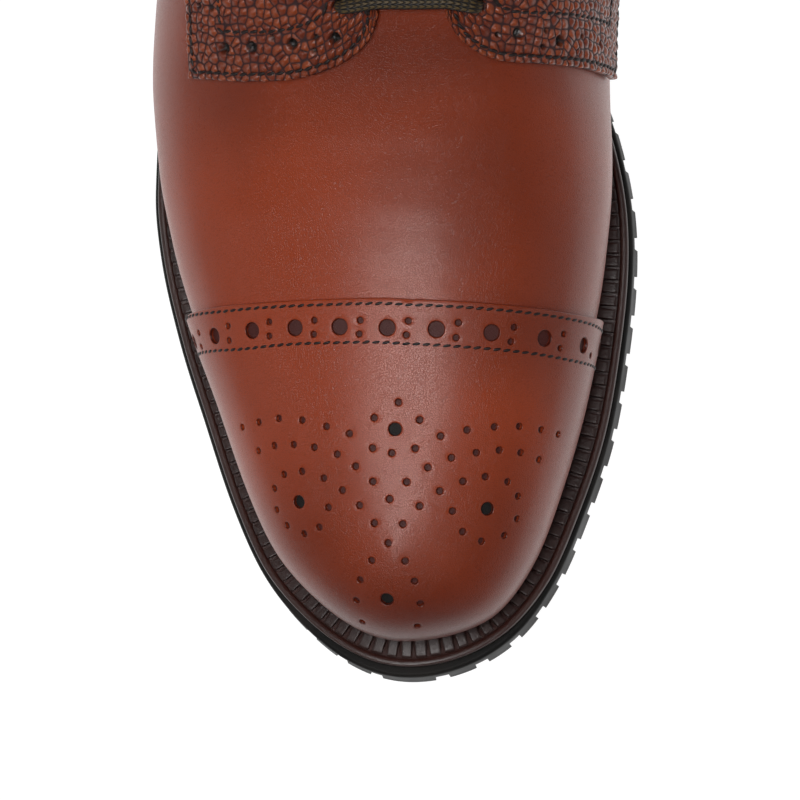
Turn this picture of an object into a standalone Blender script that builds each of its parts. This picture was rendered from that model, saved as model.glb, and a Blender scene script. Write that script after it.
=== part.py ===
"""Cap toe derby shoe with grained quarters, for the right foot.

Metres, +Z up.  The toe points to -Y, the inner (medial) side of the foot is +X, and the
shoe stands on Z = 0 with its origin under the middle of the outsole.
A place on the last is (q, side, t): q runs from the heel (0) to the toe (1), side is +1
medial and -1 lateral, and t climbs from the feather line at the welt (0) to the ridge (1).
"""
import math

import bmesh
import bpy
import numpy as np

MM = 0.001

# Driving sizes
SOLE_LENGTH = 309 * MM
BALL_WIDTH = 110 * MM
INSTEP_HEIGHT = 108 * MM
COLLAR_HEIGHT = 91 * MM
HEEL_HEIGHT = 19 * MM
HEEL_LENGTH = 75 * MM
HEEL_TAPER = 1.6 * MM
TOE_SPRING = 13 * MM
SOLE_THICK = 9 * MM
LUG_DEPTH = 3.4 * MM
LUG_LENGTH = 5.8 * MM
LUG_GROOVE = 3.0 * MM
LUG_RIM = 12 * MM
LUG_FLARE = 0.4 * MM
EDGE_CHAMFER = 1.1 * MM
TOP_PIECE_THICK = 7 * MM
TOP_PIECE_TREAD = 2.4 * MM
WELT_THICK = 3.2 * MM
WELT_STEP = 1.0 * MM
WELT_LIP = 1.7 * MM
WELT_BED = 4 * MM
LIP_SETBACK = 2 * MM
WELT_MARGIN = 9.2 * MM
SWELL = 5 * MM
BULGE_RISE = 30 * MM
WALL = 2.0 * MM
OVERLAY = 1.4 * MM
INSOLE_THICK = 3.5 * MM
TONGUE_THICK = 2.2 * MM
TONGUE_EASE = 1.4 * MM
QUARTER_EASE = 0.6 * MM
EYELET_BORE = 3 * MM
LACE_WIDTH = 4.6 * MM
LACE_THICK = 1.8 * MM
BACK_STRIP_WIDTH = 20 * MM
GAP = 0.3 * MM

# Share of the sole's length from the heel; medial and lateral reach in half ball widths
OUTLINE = (
    (0.000, -0.01, 0.01),
    (0.030, 0.40, 0.43),
    (0.090, 0.615, 0.640),
    (0.180, 0.670, 0.700),
    (0.280, 0.630, 0.720),
    (0.370, 0.585, 0.755),
    (0.450, 0.610, 0.835),
    (0.530, 0.745, 0.930),
    (0.600, 0.900, 0.980),
    (0.650, 0.970, 0.978),
    (0.700, 0.990, 0.940),
    (0.760, 0.970, 0.846),
    (0.820, 0.925, 0.720),
    (0.880, 0.832, 0.585),
    (0.930, 0.725, 0.435),
    (0.970, 0.570, 0.230),
    (1.000, 0.160, -0.160),
)
# Share of the sole's length; tread height in heel heights; tread height in toe springs
TREAD = (
    (0.00, 1.00, 0.00),
    (0.20, 0.95, 0.00),
    (0.28, 0.84, 0.00),
    (0.36, 0.58, 0.00),
    (0.45, 0.24, 0.00),
    (0.53, 0.04, 0.00),
    (0.58, 0.00, 0.00),
    (0.70, 0.00, 0.00),
    (0.78, 0.00, 0.07),
    (0.86, 0.00, 0.26),
    (0.93, 0.00, 0.56),
    (1.00, 0.00, 1.00),
)
# Share of the sole's length; margin from sole edge to upper, medial and lateral, in welt
# margins; swell of the side over the feather line, medial and lateral, in swells; height of
# the widest line in bulge rises; setback of the welt's lip in lip setbacks
SIDES = (
    (0.000, 0.55, 0.55, 0.50, 0.50, 0.60, 0.50),
    (0.200, 0.50, 0.50, 0.80, 0.70, 0.60, 0.50),
    (0.350, 0.35, 0.45, 1.90, 1.10, 0.60, 0.50),
    (0.500, 0.30, 0.52, 2.50, 1.15, 0.56, 0.50),
    (0.600, 0.72, 0.80, 1.35, 1.00, 0.50, 0.50),
    (0.700, 0.98, 1.03, 0.80, 0.80, 0.42, 0.50),
    (0.820, 0.95, 1.00, 0.35, 0.40, 0.36, 0.50),
    (0.920, 0.82, 0.97, 0.25, 0.30, 0.32, 0.50),
    (0.965, 0.86, 1.02, 0.25, 0.25, 0.32, 0.80),
    (1.000, 1.13, 1.13, 0.30, 0.30, 0.32, 1.15),
)
# Share of the sole's length; ridge height in instep heights; ridge's place across in half
# ball widths, medial positive; fullness of the section, medial and lateral
RIDGE = (
    (0.00, 1.100, 0.000, 2.10, 2.10),
    (0.18, 1.250, 0.020, 2.10, 2.10),
    (0.30, 1.220, 0.060, 2.10, 2.05),
    (0.36, 1.120, 0.090, 2.10, 2.00),
    (0.41, 1.015, 0.120, 2.10, 2.00),
    (0.45, 0.930, 0.150, 2.10, 2.00),
    (0.52, 0.805, 0.200, 2.10, 2.00),
    (0.60, 0.665, 0.200, 2.15, 1.95),
    (0.68, 0.565, 0.190, 2.20, 2.00),
    (0.76, 0.510, 0.180, 2.30, 2.10),
    (0.84, 0.480, 0.170, 2.40, 2.25),
    (0.90, 0.460, 0.160, 2.40, 2.40),
    (1.00, 0.420, 0.160, 2.40, 2.40),
)
# Share of the sole's length; height of the collar's edge in collar heights
TOPLINE = (
    (0.00, 1.00),
    (0.05, 0.99),
    (0.14, 0.91),
    (0.23, 0.85),
    (0.30, 0.87),
    (0.36, 0.97),
    (0.41, 1.10),
    (0.45, 1.25),
)
# Share of the sole's length; t of the facing's inner edge, medial and lateral
THROAT = (
    (0.38, 0.900, 0.910),
    (0.50, 0.915, 0.935),
    (0.60, 0.920, 0.940),
)
# Share of the sole's length; t of the quarter's lower edge, medial and lateral
QUARTER_BORDER = (
    (0.28, 0.00, 0.00),
    (0.33, 0.00, 0.03),
    (0.38, 0.03, 0.20),
    (0.43, 0.13, 0.40),
    (0.48, 0.20, 0.51),
    (0.54, 0.245, 0.54),
    (0.60, 0.285, 0.545),
)
# Front edge of each quarter: share of the length at the throat, at the border's corner, how
# far the rounded tip falls back, and the share of the edge that the rounding takes
QUARTER_FRONT = {
    1: (0.588, 0.578, 0.033, 0.24),
    -1: (0.602, 0.593, 0.045, 0.26),
}
# Shares of the length at the tongue's two ends; its half width in t, and how much it flares
TONGUE_FRONT = 0.60
TONGUE_BACK = 0.375
TONGUE_REACH = 0.24
TONGUE_FLARE = 0.14
TONGUE_FLARE_END = 0.75
TONGUE_ROWS = 9
TONGUE_SPANS = 5
EYELET_SIDES = 8
STRIP_CLEAR = 0.002
# Share of the length and t of the eyelets, medial and lateral
EYELETS = (
    (0.553, 0.835, 0.875),
    (0.523, 0.833, 0.870),
    (0.494, 0.830, 0.865),
    (0.465, 0.828, 0.860),
    (0.437, 0.825, 0.855),
)
FRONT_BLEND = 0.12
CAP_SHARE = 0.748
THROAT_SHARE = 0.552
LUG_START = 0.40
FAN_TOE = 62 * MM
FAN_TOE_PULL = 30 * MM
FAN_HEEL = 50 * MM
FAN_HEEL_PUSH = 18 * MM
WIDEST_T = 0.22
ROUNDS = 34
CLIMBS = 11
QUARTER_ROWS = 9
SHARED_ROWS = 3
OVERLAY_FOOT = 0.02
CLIMB_SHARE = 0.39
CLIMB_REACH = 0.05
CLIMB_CROWD = 2.0


def smooth(table, column, at):
    """Value of a table's column at a share, on a curve that never overshoots its rows."""
    at = min(max(at, table[0][0]), table[-1][0])
    k = 0
    while k < len(table) - 2 and at > table[k + 1][0]:
        k += 1

    def rate(i):
        return (table[i + 1][column] - table[i][column]) / (table[i + 1][0] - table[i][0])

    def slope(i):
        if i == 0:
            return rate(0)
        if i == len(table) - 1:
            return rate(i - 1)
        before, after = rate(i - 1), rate(i)
        if before * after <= 0:
            return 0.0
        mean = (before + after) / 2
        limit = 3 * min(abs(before), abs(after))
        return math.copysign(min(abs(mean), limit), mean)

    span = table[k + 1][0] - table[k][0]
    u = (at - table[k][0]) / span
    start, end = table[k][column], table[k + 1][column]
    return (
        (2 * u**3 - 3 * u**2 + 1) * start
        + (u**3 - 2 * u**2 + u) * slope(k) * span
        + (3 * u**2 - 2 * u**3) * end
        + (u**3 - u**2) * slope(k + 1) * span
    )


def ease(value):
    value = min(max(value, 0.0), 1.0)
    return value * value * (3 - 2 * value)


def turn(share):
    return math.acos(1 - 2 * share) / math.pi


def share_at(q):
    return (1 - math.cos(math.pi * q)) / 2


OUTLINE_BY_TURN = [(turn(share), medial, lateral) for share, medial, lateral in OUTLINE]


def pick(side, medial, lateral):
    return medial if side > 0 else lateral


def sole_edge(q, side):
    """Distance from the heel and distance across of the outsole's edge."""
    across = smooth(OUTLINE_BY_TURN, pick(side, 1, 2), q) * BALL_WIDTH / 2
    return np.array((SOLE_LENGTH * share_at(q), side * across))


def edge_normal(q, side):
    if q <= 0 or q >= 1:
        return np.array((-1.0 if q <= 0 else 1.0, 0.0))
    step = min(0.001, q, 1 - q)
    along = sole_edge(q + step, side) - sole_edge(q - step, side)
    out = np.array((-along[1], along[0])) * side
    return out / np.linalg.norm(out)


def inset(q, side, distance):
    return sole_edge(q, side) - distance * edge_normal(q, side)


MIDDLE = (
    max(sole_edge(k / 200, 1)[1] for k in range(201))
    + min(sole_edge(k / 200, -1)[1] for k in range(201))
) / 2


def place(plan, height):
    """World point of a plan point (distance from the heel, distance across) at a height."""
    return np.array((plan[1] - MIDDLE, SOLE_LENGTH / 2 - plan[0], height))


def tread_height(along):
    share = along / SOLE_LENGTH
    return HEEL_HEIGHT * smooth(TREAD, 1, share) + TOE_SPRING * smooth(TREAD, 2, share)


def feather_height(along):
    return tread_height(along) + SOLE_THICK + GAP + WELT_THICK + GAP


def margin(q, side):
    return WELT_MARGIN * smooth(SIDES, pick(side, 1, 2), share_at(q))


def lip_setback(q):
    return LIP_SETBACK * smooth(SIDES, 6, share_at(q))


def ridge_share(q):
    """The ridge is shorter than the sole, so sections fan out at the toe and the heel."""
    along = SOLE_LENGTH * share_at(q)
    along -= FAN_TOE_PULL * ease((along - (SOLE_LENGTH - FAN_TOE)) / FAN_TOE)
    along += FAN_HEEL_PUSH * ease((FAN_HEEL - along) / FAN_HEEL)
    return along / SOLE_LENGTH


def ridge_height(share):
    return INSTEP_HEIGHT * smooth(RIDGE, 1, share)


def skin(q, side, t):
    """Point of the last's outer surface."""
    share = share_at(q)
    swell = SWELL * smooth(SIDES, pick(side, 3, 4), share)
    rise = BULGE_RISE * smooth(SIDES, 5, share)
    foot = inset(q, side, margin(q, side))
    widest = inset(q, side, margin(q, side) - swell)
    low = feather_height(foot[0])
    middle = low + rise
    if t < WIDEST_T:
        u = t / WIDEST_T
        return place(foot + (widest - foot) * (1 - (1 - u) ** 2), low + rise * u)
    top = ridge_share(q)
    ridge = np.array((SOLE_LENGTH * top, smooth(RIDGE, 2, top) * BALL_WIDTH / 2))
    near = 0.005
    slope = (ridge_height(top + near) - ridge_height(top - near)) / (2 * near * SOLE_LENGTH)
    power = 2 / smooth(RIDGE, pick(side, 3, 4), top)
    angle = min((t - WIDEST_T) / (1 - WIDEST_T), 1.0) * math.pi / 2
    plan = ridge + (widest - ridge) * max(math.cos(angle), 0.0) ** power
    crown = ridge_height(top) + slope * (plan[0] - ridge[0])
    return place(plan, middle + (crown - middle) * math.sin(angle) ** power)


def around(w):
    """q and side of a place on the way round the shoe, heel to toe and back (0 to 1)."""
    w = w % 1.0
    return (2 * w, 1) if w <= 0.5 else (2 - 2 * w, -1)


def normal(q, side, t):
    """Outward direction, level below the widest line, so each wall ends flat on the welt."""
    w = q / 2 if side > 0 else 1 - q / 2
    step = 0.002
    t = min(max(t, step), 1 - step)
    ahead = skin(*around(w + step), t) - skin(*around(w - step), t)
    up = skin(q, side, t + step) - skin(q, side, t - step)
    out = np.cross(up, ahead)
    out /= np.linalg.norm(out)
    out[2] = max(out[2], 0.0)
    return out / np.linalg.norm(out)


def wall_point(q, side, t, offset):
    """Point at a height over the last's surface; the ridge takes the mean of both sides."""
    if t >= 1.0:
        out = normal(q, 1, 1.0) + normal(q, -1, 1.0)
        return (skin(q, 1, 1.0) + skin(q, -1, 1.0)) / 2 + offset * out / np.linalg.norm(out)
    return skin(q, side, t) + offset * normal(q, side, t)


def t_at_height(q, side, height):
    low, high = 0.0, 1.0
    for _ in range(24):
        middle = (low + high) / 2
        if skin(q, side, middle)[2] < height:
            low = middle
        else:
            high = middle
    return low


def top_t(q, side):
    """t of the upper's edge: the ridge ahead of the throat, then facing and collar."""
    share = share_at(q)
    if share >= THROAT_SHARE:
        return 1.0
    throat = smooth(THROAT, pick(side, 1, 2), share)
    collar = t_at_height(q, side, COLLAR_HEIGHT * smooth(TOPLINE, 1, share))
    return min(throat, collar)


def stations(first, last, count):
    """q values from first to last, closer together where the collar climbs to the facings."""
    samples = [first + (last - first) * k / 200 for k in range(201)]
    measure = [0.0]
    for a, b in zip(samples, samples[1:]):
        away = (share_at((a + b) / 2) - CLIMB_SHARE) / CLIMB_REACH
        measure.append(measure[-1] + 1 + CLIMB_CROWD * math.exp(-away * away))
    marks = [measure[-1] * k / count for k in range(count + 1)]
    return [float(np.interp(mark, measure, samples)) for mark in marks]


LAST_STOPS = stations(0.0, turn(THROAT_SHARE), 20) + stations(turn(THROAT_SHARE), 1.0, 13)[1:]


def climb(foot, edge):
    """t values from a wall's foot to its top edge."""
    return [foot + (edge - foot) * k / CLIMBS for k in range(CLIMBS + 1)]


class Solid:
    """Collects faces by their corners; corners at the same place are one vertex."""

    def __init__(self):
        self.index = {}
        self.points = []
        self.faces = []

    def corner(self, point):
        key = tuple(int(round(value * 1e7)) for value in point)
        if key not in self.index:
            self.index[key] = len(self.points)
            self.points.append(tuple(float(value) for value in point))
        return self.index[key]

    def face(self, *corners):
        ring = []
        for point in corners:
            index = self.corner(point)
            if index not in ring:
                ring.append(index)
        if len(ring) >= 3:
            self.faces.append(ring)

    def strip(self, first, second, closed=False):
        """Faces between two rows of points."""
        count = len(first)
        for k in range(count if closed else count - 1):
            n = (k + 1) % count
            self.face(first[k], first[n], second[n], second[k])

    def grid(self, rows, closed=False):
        for first, second in zip(rows, rows[1:]):
            self.strip(first, second, closed)

    def build(self, name, colour, roughness, flat=30):
        mesh = bpy.data.meshes.new(name)
        mesh.from_pydata(self.points, [], self.faces)
        shape = bmesh.new()
        shape.from_mesh(mesh)
        bmesh.ops.triangulate(shape, faces=shape.faces)
        bmesh.ops.recalc_face_normals(shape, faces=shape.faces)
        shape.to_mesh(mesh)
        shape.free()
        thing = bpy.data.objects.new(name, mesh)
        bpy.context.collection.objects.link(thing)
        thing.data.materials.append(finish(name, colour, roughness))
        mesh.shade_smooth()
        mesh.set_sharp_from_angle(angle=math.radians(flat))
        return thing


def finish(name, colour, roughness):
    material = bpy.data.materials.new(name + "_finish")
    material.use_nodes = True
    shader = material.node_tree.nodes["Principled BSDF"]
    shader.inputs["Base Color"].default_value = (*colour, 1)
    shader.inputs["Roughness"].default_value = roughness
    shader.inputs["Metallic"].default_value = 0
    return material


CALF = (0.24, 0.07, 0.022)
GRAIN = (0.30, 0.09, 0.025)
WELT_BROWN = (0.045, 0.018, 0.012)
RUBBER = (0.02, 0.02, 0.021)
LINING = (0.42, 0.27, 0.15)
LACE_BROWN = (0.03, 0.018, 0.012)


def shell(solid, outer, inner):
    """A wall between two grids of the same shape, closed along all four edges."""
    solid.grid(outer)
    solid.grid(inner)
    solid.strip(outer[0], inner[0])
    solid.strip(outer[-1], inner[-1])
    solid.strip([row[0] for row in outer], [row[0] for row in inner])
    solid.strip([row[-1] for row in outer], [row[-1] for row in inner])


def upper():
    """One hollow wall, open underneath, at the throat and at the collar."""
    throat = turn(THROAT_SHARE)
    stops = LAST_STOPS
    way = [(q, 1) for q in stops] + [(q, -1) for q in reversed(stops)]
    solid = Solid()
    walls = []
    for offset in (0.0, -WALL):
        rows = []
        for q, side in way:
            edge = top_t(q, side)
            rows.append([wall_point(q, side, t, offset) for t in climb(0.0, edge)])
        solid.grid(rows)
        walls.append(rows)
    outer, inner = walls
    solid.strip([row[0] for row in outer], [row[0] for row in inner])
    for k in range(len(way) - 1):
        if min(way[k][0], way[k + 1][0]) < throat:
            solid.face(outer[k][-1], outer[k + 1][-1], inner[k + 1][-1], inner[k][-1])
    return solid.build("upper", CALF, 0.4)


def toe_cap():
    """Smooth cap over the toe, from its straight seam to the welt."""
    start = turn(CAP_SHARE)
    stops = [start] + [q for q in LAST_STOPS if q > start + 0.01]
    way = [(q, 1) for q in stops] + [(q, -1) for q in reversed(stops[:-1])]
    solid = Solid()
    walls = []
    for offset in (GAP, GAP + OVERLAY):
        rows = [
            [wall_point(q, side, t, offset) for t in climb(OVERLAY_FOOT, 1.0)] for q, side in way
        ]
        solid.grid(rows)
        walls.append(rows)
    outer, inner = walls
    solid.strip([row[0] for row in outer], [row[0] for row in inner])
    for end in (0, -1):
        solid.strip(outer[end], inner[end])
    return solid.build("toe_cap", CALF, 0.35)


def quarter_place(side, stop, k):
    """q and t at a stop along the quarter and k rows down from its top edge."""
    near, corner, fall, part = QUARTER_FRONT[side]
    blend = ease((stop - turn(near - FRONT_BLEND)) / (turn(near) - turn(near - FRONT_BLEND)))
    v = k / QUARTER_ROWS
    tip = 1 - math.sqrt(1 - max(0.0, 1 - v / part) ** 2)
    front = near + (corner - near) * v - fall * tip
    q = stop + (turn(front) - turn(near)) * blend
    share = share_at(q)
    top = min(top_t(q, side), smooth(THROAT, pick(side, 1, 2), share))
    border = max(OVERLAY_FOOT, smooth(QUARTER_BORDER, pick(side, 1, 2), share))
    shared = top * (1 - min(k, SHARED_ROWS) / CLIMBS)
    rest = max(0, k - SHARED_ROWS) / (QUARTER_ROWS - SHARED_ROWS)
    return q, shared + (border - shared) * rest


def eyelet_cutters():
    """Round punches through quarter and upper at every eyelet."""
    punches = bmesh.new()
    for share, medial, lateral in EYELETS:
        q = turn(share)
        for side, t in ((1, medial), (-1, lateral)):
            out = normal(q, side, t)
            across = np.cross(out, (0.0, 1.0, 0.0))
            across /= np.linalg.norm(across)
            other = np.cross(out, across)
            rings = []
            for depth in (-WALL - 2 * OVERLAY, 3 * OVERLAY):
                middle = skin(q, side, t) + depth * out
                ring = []
                for k in range(EYELET_SIDES):
                    angle = math.tau * k / EYELET_SIDES
                    radius = EYELET_BORE / 2 * (across * math.cos(angle) + other * math.sin(angle))
                    ring.append(punches.verts.new(middle + radius))
                rings.append(ring)
            low, high = rings
            for k in range(EYELET_SIDES):
                n = (k + 1) % EYELET_SIDES
                punches.faces.new((low[k], low[n], high[n], high[k]))
            punches.faces.new(low[::-1])
            punches.faces.new(high)
    bmesh.ops.recalc_face_normals(punches, faces=punches.faces)
    mesh = bpy.data.meshes.new("eyelet_punches")
    punches.to_mesh(mesh)
    punches.free()
    cutter = bpy.data.objects.new("eyelet_punches", mesh)
    bpy.context.collection.objects.link(cutter)
    cutter.hide_render = True
    cutter.display_type = "WIRE"
    return cutter


def punch(thing, cutter):
    cut = thing.modifiers.new("eyelets", "BOOLEAN")
    cut.operation = "DIFFERENCE"
    cut.solver = "EXACT"
    cut.object = cutter


def strip_turn(side):
    """q at the edge of the back strip."""
    q = 0.0
    while abs(sole_edge(q, side)[1]) < BACK_STRIP_WIDTH / 2:
        q += 0.0005
    return q


def quarter(name, side):
    """Grained quarter with its eyelet facing, an overlay on the upper."""
    back = strip_turn(side) + STRIP_CLEAR
    front = turn(QUARTER_FRONT[side][0])
    stops = [back] + [q for q in LAST_STOPS if back + 0.01 < q < front - 0.01] + [front]
    solid = Solid()
    walls = []
    for offset in (QUARTER_EASE, QUARTER_EASE + OVERLAY):
        rows = []
        for stop in stops:
            row = []
            for k in range(QUARTER_ROWS + 1):
                q, t = quarter_place(side, stop, k)
                row.append(wall_point(q, side, t, offset))
            rows.append(row)
        walls.append(rows)
    shell(solid, *walls)
    return solid.build(name, GRAIN, 0.4)


def back_strip():
    """Narrow strip over the seam at the back."""
    solid = Solid()
    walls = []
    for offset in (GAP, GAP + OVERLAY):
        rows = []
        for part, side in ((1.0, -1), (0.5, -1), (0.0, 1), (0.5, 1), (1.0, 1)):
            q = part * strip_turn(side)
            ts = climb(OVERLAY_FOOT, top_t(q, side))
            rows.append([wall_point(q, side, t, offset) for t in ts])
        walls.append(rows)
    shell(solid, *walls)
    return solid.build("back_strip", CALF, 0.4)


def tongue():
    """Leather tongue under the facings, rising past the top eyelets."""
    front, back = turn(TONGUE_FRONT), turn(TONGUE_BACK)
    solid = Solid()
    walls = []
    for offset in (-WALL - TONGUE_EASE, -WALL - TONGUE_EASE - TONGUE_THICK):
        rows = []
        for i in range(TONGUE_ROWS + 1):
            part = i / TONGUE_ROWS
            q = front + (back - front) * part
            flare = TONGUE_FLARE * math.sin(math.pi * min(part, TONGUE_FLARE_END))
            row = []
            for k in range(-TONGUE_SPANS, TONGUE_SPANS + 1):
                side = 1 if k > 0 else -1
                reach = (TONGUE_REACH + flare) * abs(k) / TONGUE_SPANS
                row.append(wall_point(q, side, 1 - reach, offset))
            rows.append(row)
        walls.append(rows)
    shell(solid, *walls)
    return solid.build("tongue", CALF, 0.5)


def insole():
    """Leather insole on its bed, down to the outsole inside the welt."""
    solid = Solid()
    slab = WALL + 2 * GAP
    bed = WELT_BED + GAP
    sections = (
        (bed, SOLE_THICK + GAP),
        (bed, SOLE_THICK + GAP + WELT_THICK + GAP),
        (slab, SOLE_THICK + GAP + WELT_THICK + GAP),
        (slab, SOLE_THICK + GAP + WELT_THICK + GAP + INSOLE_THICK),
    )
    rings = []
    for inside, rise in sections:
        ring = []
        for side in (1, -1):
            row = []
            for k in range(ROUNDS + 1):
                q = k / ROUNDS
                plan = inset(q, side, margin(q, side) + inside)
                row.append(place(plan, tread_height(plan[0]) + rise))
            ring.append(row)
        rings.append(ring)
    for low, high in zip(rings, rings[1:]):
        for first, second in zip(low, high):
            solid.strip(first, second)
    solid.strip(*rings[0])
    solid.strip(*rings[-1])
    return solid.build("insole", LINING, 0.6)


def welt():
    """Leather strip all round, its wheeled band a step above the lip."""
    base = SOLE_THICK + GAP
    solid = Solid()
    rows = []
    for k in range(2 * ROUNDS + 1):
        q, side = around(k / (2 * ROUNDS))
        lip = lip_setback(q)
        bed = margin(q, side) + WELT_BED
        section = (
            (lip, base),
            (lip, base + WELT_THICK - WELT_STEP),
            (lip + WELT_LIP, base + WELT_THICK - WELT_STEP),
            (lip + WELT_LIP, base + WELT_THICK),
            (bed, base + WELT_THICK),
            (bed, base),
        )
        row = []
        for inside, rise in section:
            plan = inset(q, side, inside)
            row.append(place(plan, tread_height(plan[0]) + rise))
        rows.append(row)
    solid.grid(rows, closed=True)
    return solid.build("welt", WELT_BROWN, 0.5)


def pitch_stops(first, last):
    """Places round the sole's edge where lugs and grooves follow each other."""
    samples = 600
    lengths = [0.0]
    turns = [first + (last - first) * k / samples for k in range(samples + 1)]
    for a, b in zip(turns, turns[1:]):
        step = sum(np.linalg.norm(sole_edge(b, side) - sole_edge(a, side)) for side in (1, -1)) / 2
        lengths.append(lengths[-1] + step)
    pairs = max(1, round((lengths[-1] + LUG_GROOVE) / (LUG_LENGTH + LUG_GROOVE)))
    scale = lengths[-1] / (pairs * (LUG_LENGTH + LUG_GROOVE) - LUG_GROOVE)
    marks = [0.0]
    for k in range(2 * pairs - 1):
        marks.append(marks[-1] + scale * (LUG_LENGTH if k % 2 == 0 else LUG_GROOVE))
    return [float(np.interp(mark, lengths, turns)) for mark in marks[:-1]] + [last]


def lug_columns(q):
    """Plan points across one row: rim, groove and two middle lugs."""
    left, right = inset(q, -1, LUG_RIM), inset(q, 1, LUG_RIM)
    width = np.linalg.norm(right - left)
    groove = min(LUG_GROOVE, width / 6) / max(width, 1e-9)
    shares = (0.0, groove, 0.5 - groove / 2, 0.5 + groove / 2, 1 - groove, 1.0)
    inner = [left + (right - left) * share for share in shares]
    return [sole_edge(q, -1)] + inner + [sole_edge(q, 1)]


def treaded(solid, rows, is_lug, low, high, sides):
    """A sole: a bottom of raised and sunken cells, its edge, and a plain top.

    rows are lists of plan points; low and high give a cell's two heights at a plan point;
    sides are (inset, height) steps of the edge from the sunken level up.
    """
    key = lambda plan: (round(plan[0] * 1e7), round(plan[1] * 1e7))
    edges = {}
    last = len(rows[0]) - 1
    rim = {}
    for i, row in enumerate(rows):
        for side, end in ((-1, 0), (1, last)):
            rim[key(row[end])] = (i, side)

    def ground(plan, lug):
        if not lug:
            return place(plan, high(plan[0]))
        spot = key(plan)
        if spot in rim:
            i, side = rim[spot]
            plan = sides[0](i, side, -LUG_FLARE)
        return place(plan, low(plan[0]))

    for i in range(len(rows) - 1):
        for j in range(last):
            lug = is_lug(i, j)
            ring = []
            for plan in (rows[i][j], rows[i][j + 1], rows[i + 1][j + 1], rows[i + 1][j]):
                if key(plan) not in [key(other) for other in ring]:
                    ring.append(plan)
            if len(ring) < 3:
                continue
            solid.face(*[ground(plan, lug) for plan in ring])
            for a, b in zip(ring, ring[1:] + ring[:1]):
                name = tuple(sorted((key(a), key(b))))
                edges.setdefault(name, []).append((a, b, lug))
    for users in edges.values():
        a, b, lug = users[0]
        if len(users) == 2 and lug != users[1][2]:
            solid.face(ground(a, True), ground(b, True), ground(b, False), ground(a, False))
        if len(users) == 1 and lug:
            solid.face(ground(a, True), ground(b, True), ground(b, False), ground(a, False))
    walls = []
    for side, end in ((-1, 0), (1, last)):
        levels = [[place(row[end], high(row[end][0])) for row in rows]]
        for inside, top in sides[1]:
            plans = [sides[0](i, side, inside) for i in range(len(rows))]
            levels.append([place(plan, top(plan[0])) for plan in plans])
        solid.grid(levels)
        walls.append(levels)
    solid.strip(walls[0][-1], walls[1][-1])
    return walls


def outsole():
    """Rubber sole with lugs under the forepart, plain through the waist and heel seat."""
    start = turn(LUG_START)
    plain = [start * k / 15 for k in range(15)]
    stops = plain + pitch_stops(start, 1.0)
    rows = [lug_columns(q) for q in stops]

    def is_lug(i, j):
        """Every second row has rim lugs, and middle lugs where the sole is wide enough."""
        if i < len(plain) or (i - len(plain)) % 2 == 1:
            return False
        width = np.linalg.norm(rows[i + 1][-2] - rows[i + 1][1])
        return j in (0, 6) or (j in (2, 4) and width > 8 * LUG_GROOVE)

    def high(along):
        return tread_height(along) + LUG_DEPTH

    top = lambda along: tread_height(along) + SOLE_THICK
    shoulder = lambda along: tread_height(along) + SOLE_THICK - EDGE_CHAMFER
    edge = lambda i, side, inside: inset(stops[i], side, inside)
    solid = Solid()
    treaded(solid, rows, is_lug, tread_height, high, (edge, ((0.0, shoulder), (EDGE_CHAMFER, top))))
    return solid.build("outsole", RUBBER, 0.55)


def heel_edge(q, side, inside):
    """Edge of the heel, straight across at its breast."""
    plan = inset(q, side, inside)
    if q >= turn(HEEL_LENGTH / SOLE_LENGTH) - 1e-9:
        plan = np.array((HEEL_LENGTH, plan[1]))
    return plan


def heel_rows(inside, stops):
    rows = []
    for q in stops:
        left, right = heel_edge(q, -1, inside), heel_edge(q, 1, inside)
        rows.append((left, right))
    return rows


def heel_base():
    """Stacked heel between the outsole and its rubber top piece."""
    stops = [turn(HEEL_LENGTH / SOLE_LENGTH) * k / 14 for k in range(15)]
    solid = Solid()
    levels = []
    for inside, height in (
        (HEEL_TAPER, lambda along: TOP_PIECE_THICK + GAP),
        (EDGE_CHAMFER / 2, lambda along: tread_height(along) + LUG_DEPTH - GAP),
    ):
        levels.append(
            [[place(plan, height(plan[0])) for plan in row] for row in heel_rows(inside, stops)]
        )
    low, high = levels
    solid.grid(low)
    solid.grid(high)
    for end in (0, 1):
        solid.strip([row[end] for row in low], [row[end] for row in high])
    solid.strip(low[-1], high[-1])
    return solid.build("heel_base", WELT_BROWN, 0.5)


def heel_top_piece():
    """Rubber top piece with a treaded face on the floor."""
    breast = turn(HEEL_LENGTH / SOLE_LENGTH)
    stops = [0.0] + pitch_stops(0.06, breast)
    rows = []
    for q in stops:
        left, right = heel_edge(q, -1, LUG_RIM), heel_edge(q, 1, LUG_RIM)
        if q == 0.0:
            right = left
        width = np.linalg.norm(right - left)
        groove = min(LUG_GROOVE, width / 6) / max(width, 1e-9)
        inner = [left + (right - left) * share for share in (0.0, groove, 1 - groove, 1.0)]
        outer = [heel_edge(q, side, HEEL_TAPER) for side in (-1, 1)]
        rows.append([outer[0]] + inner + [outer[1]])

    def is_lug(i, j):
        rim = j in (0, 4)
        return (i % 2 == 1 or i == 0) and (rim or (j == 2 and i > 2))

    low = lambda along: 0.0
    high = lambda along: TOP_PIECE_TREAD
    top = lambda along: TOP_PIECE_THICK
    edge = lambda i, side, inside: heel_edge(stops[i], side, inside + HEEL_TAPER)
    solid = Solid()
    walls = treaded(solid, rows, is_lug, low, high, (edge, ((0.0, top),)))
    breast_row = [place(plan, high(plan[0])) for plan in rows[-1]]
    solid.face(*breast_row, walls[1][-1][-1], walls[0][-1][-1])
    return solid.build("heel_top_piece", RUBBER, 0.55)


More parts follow.
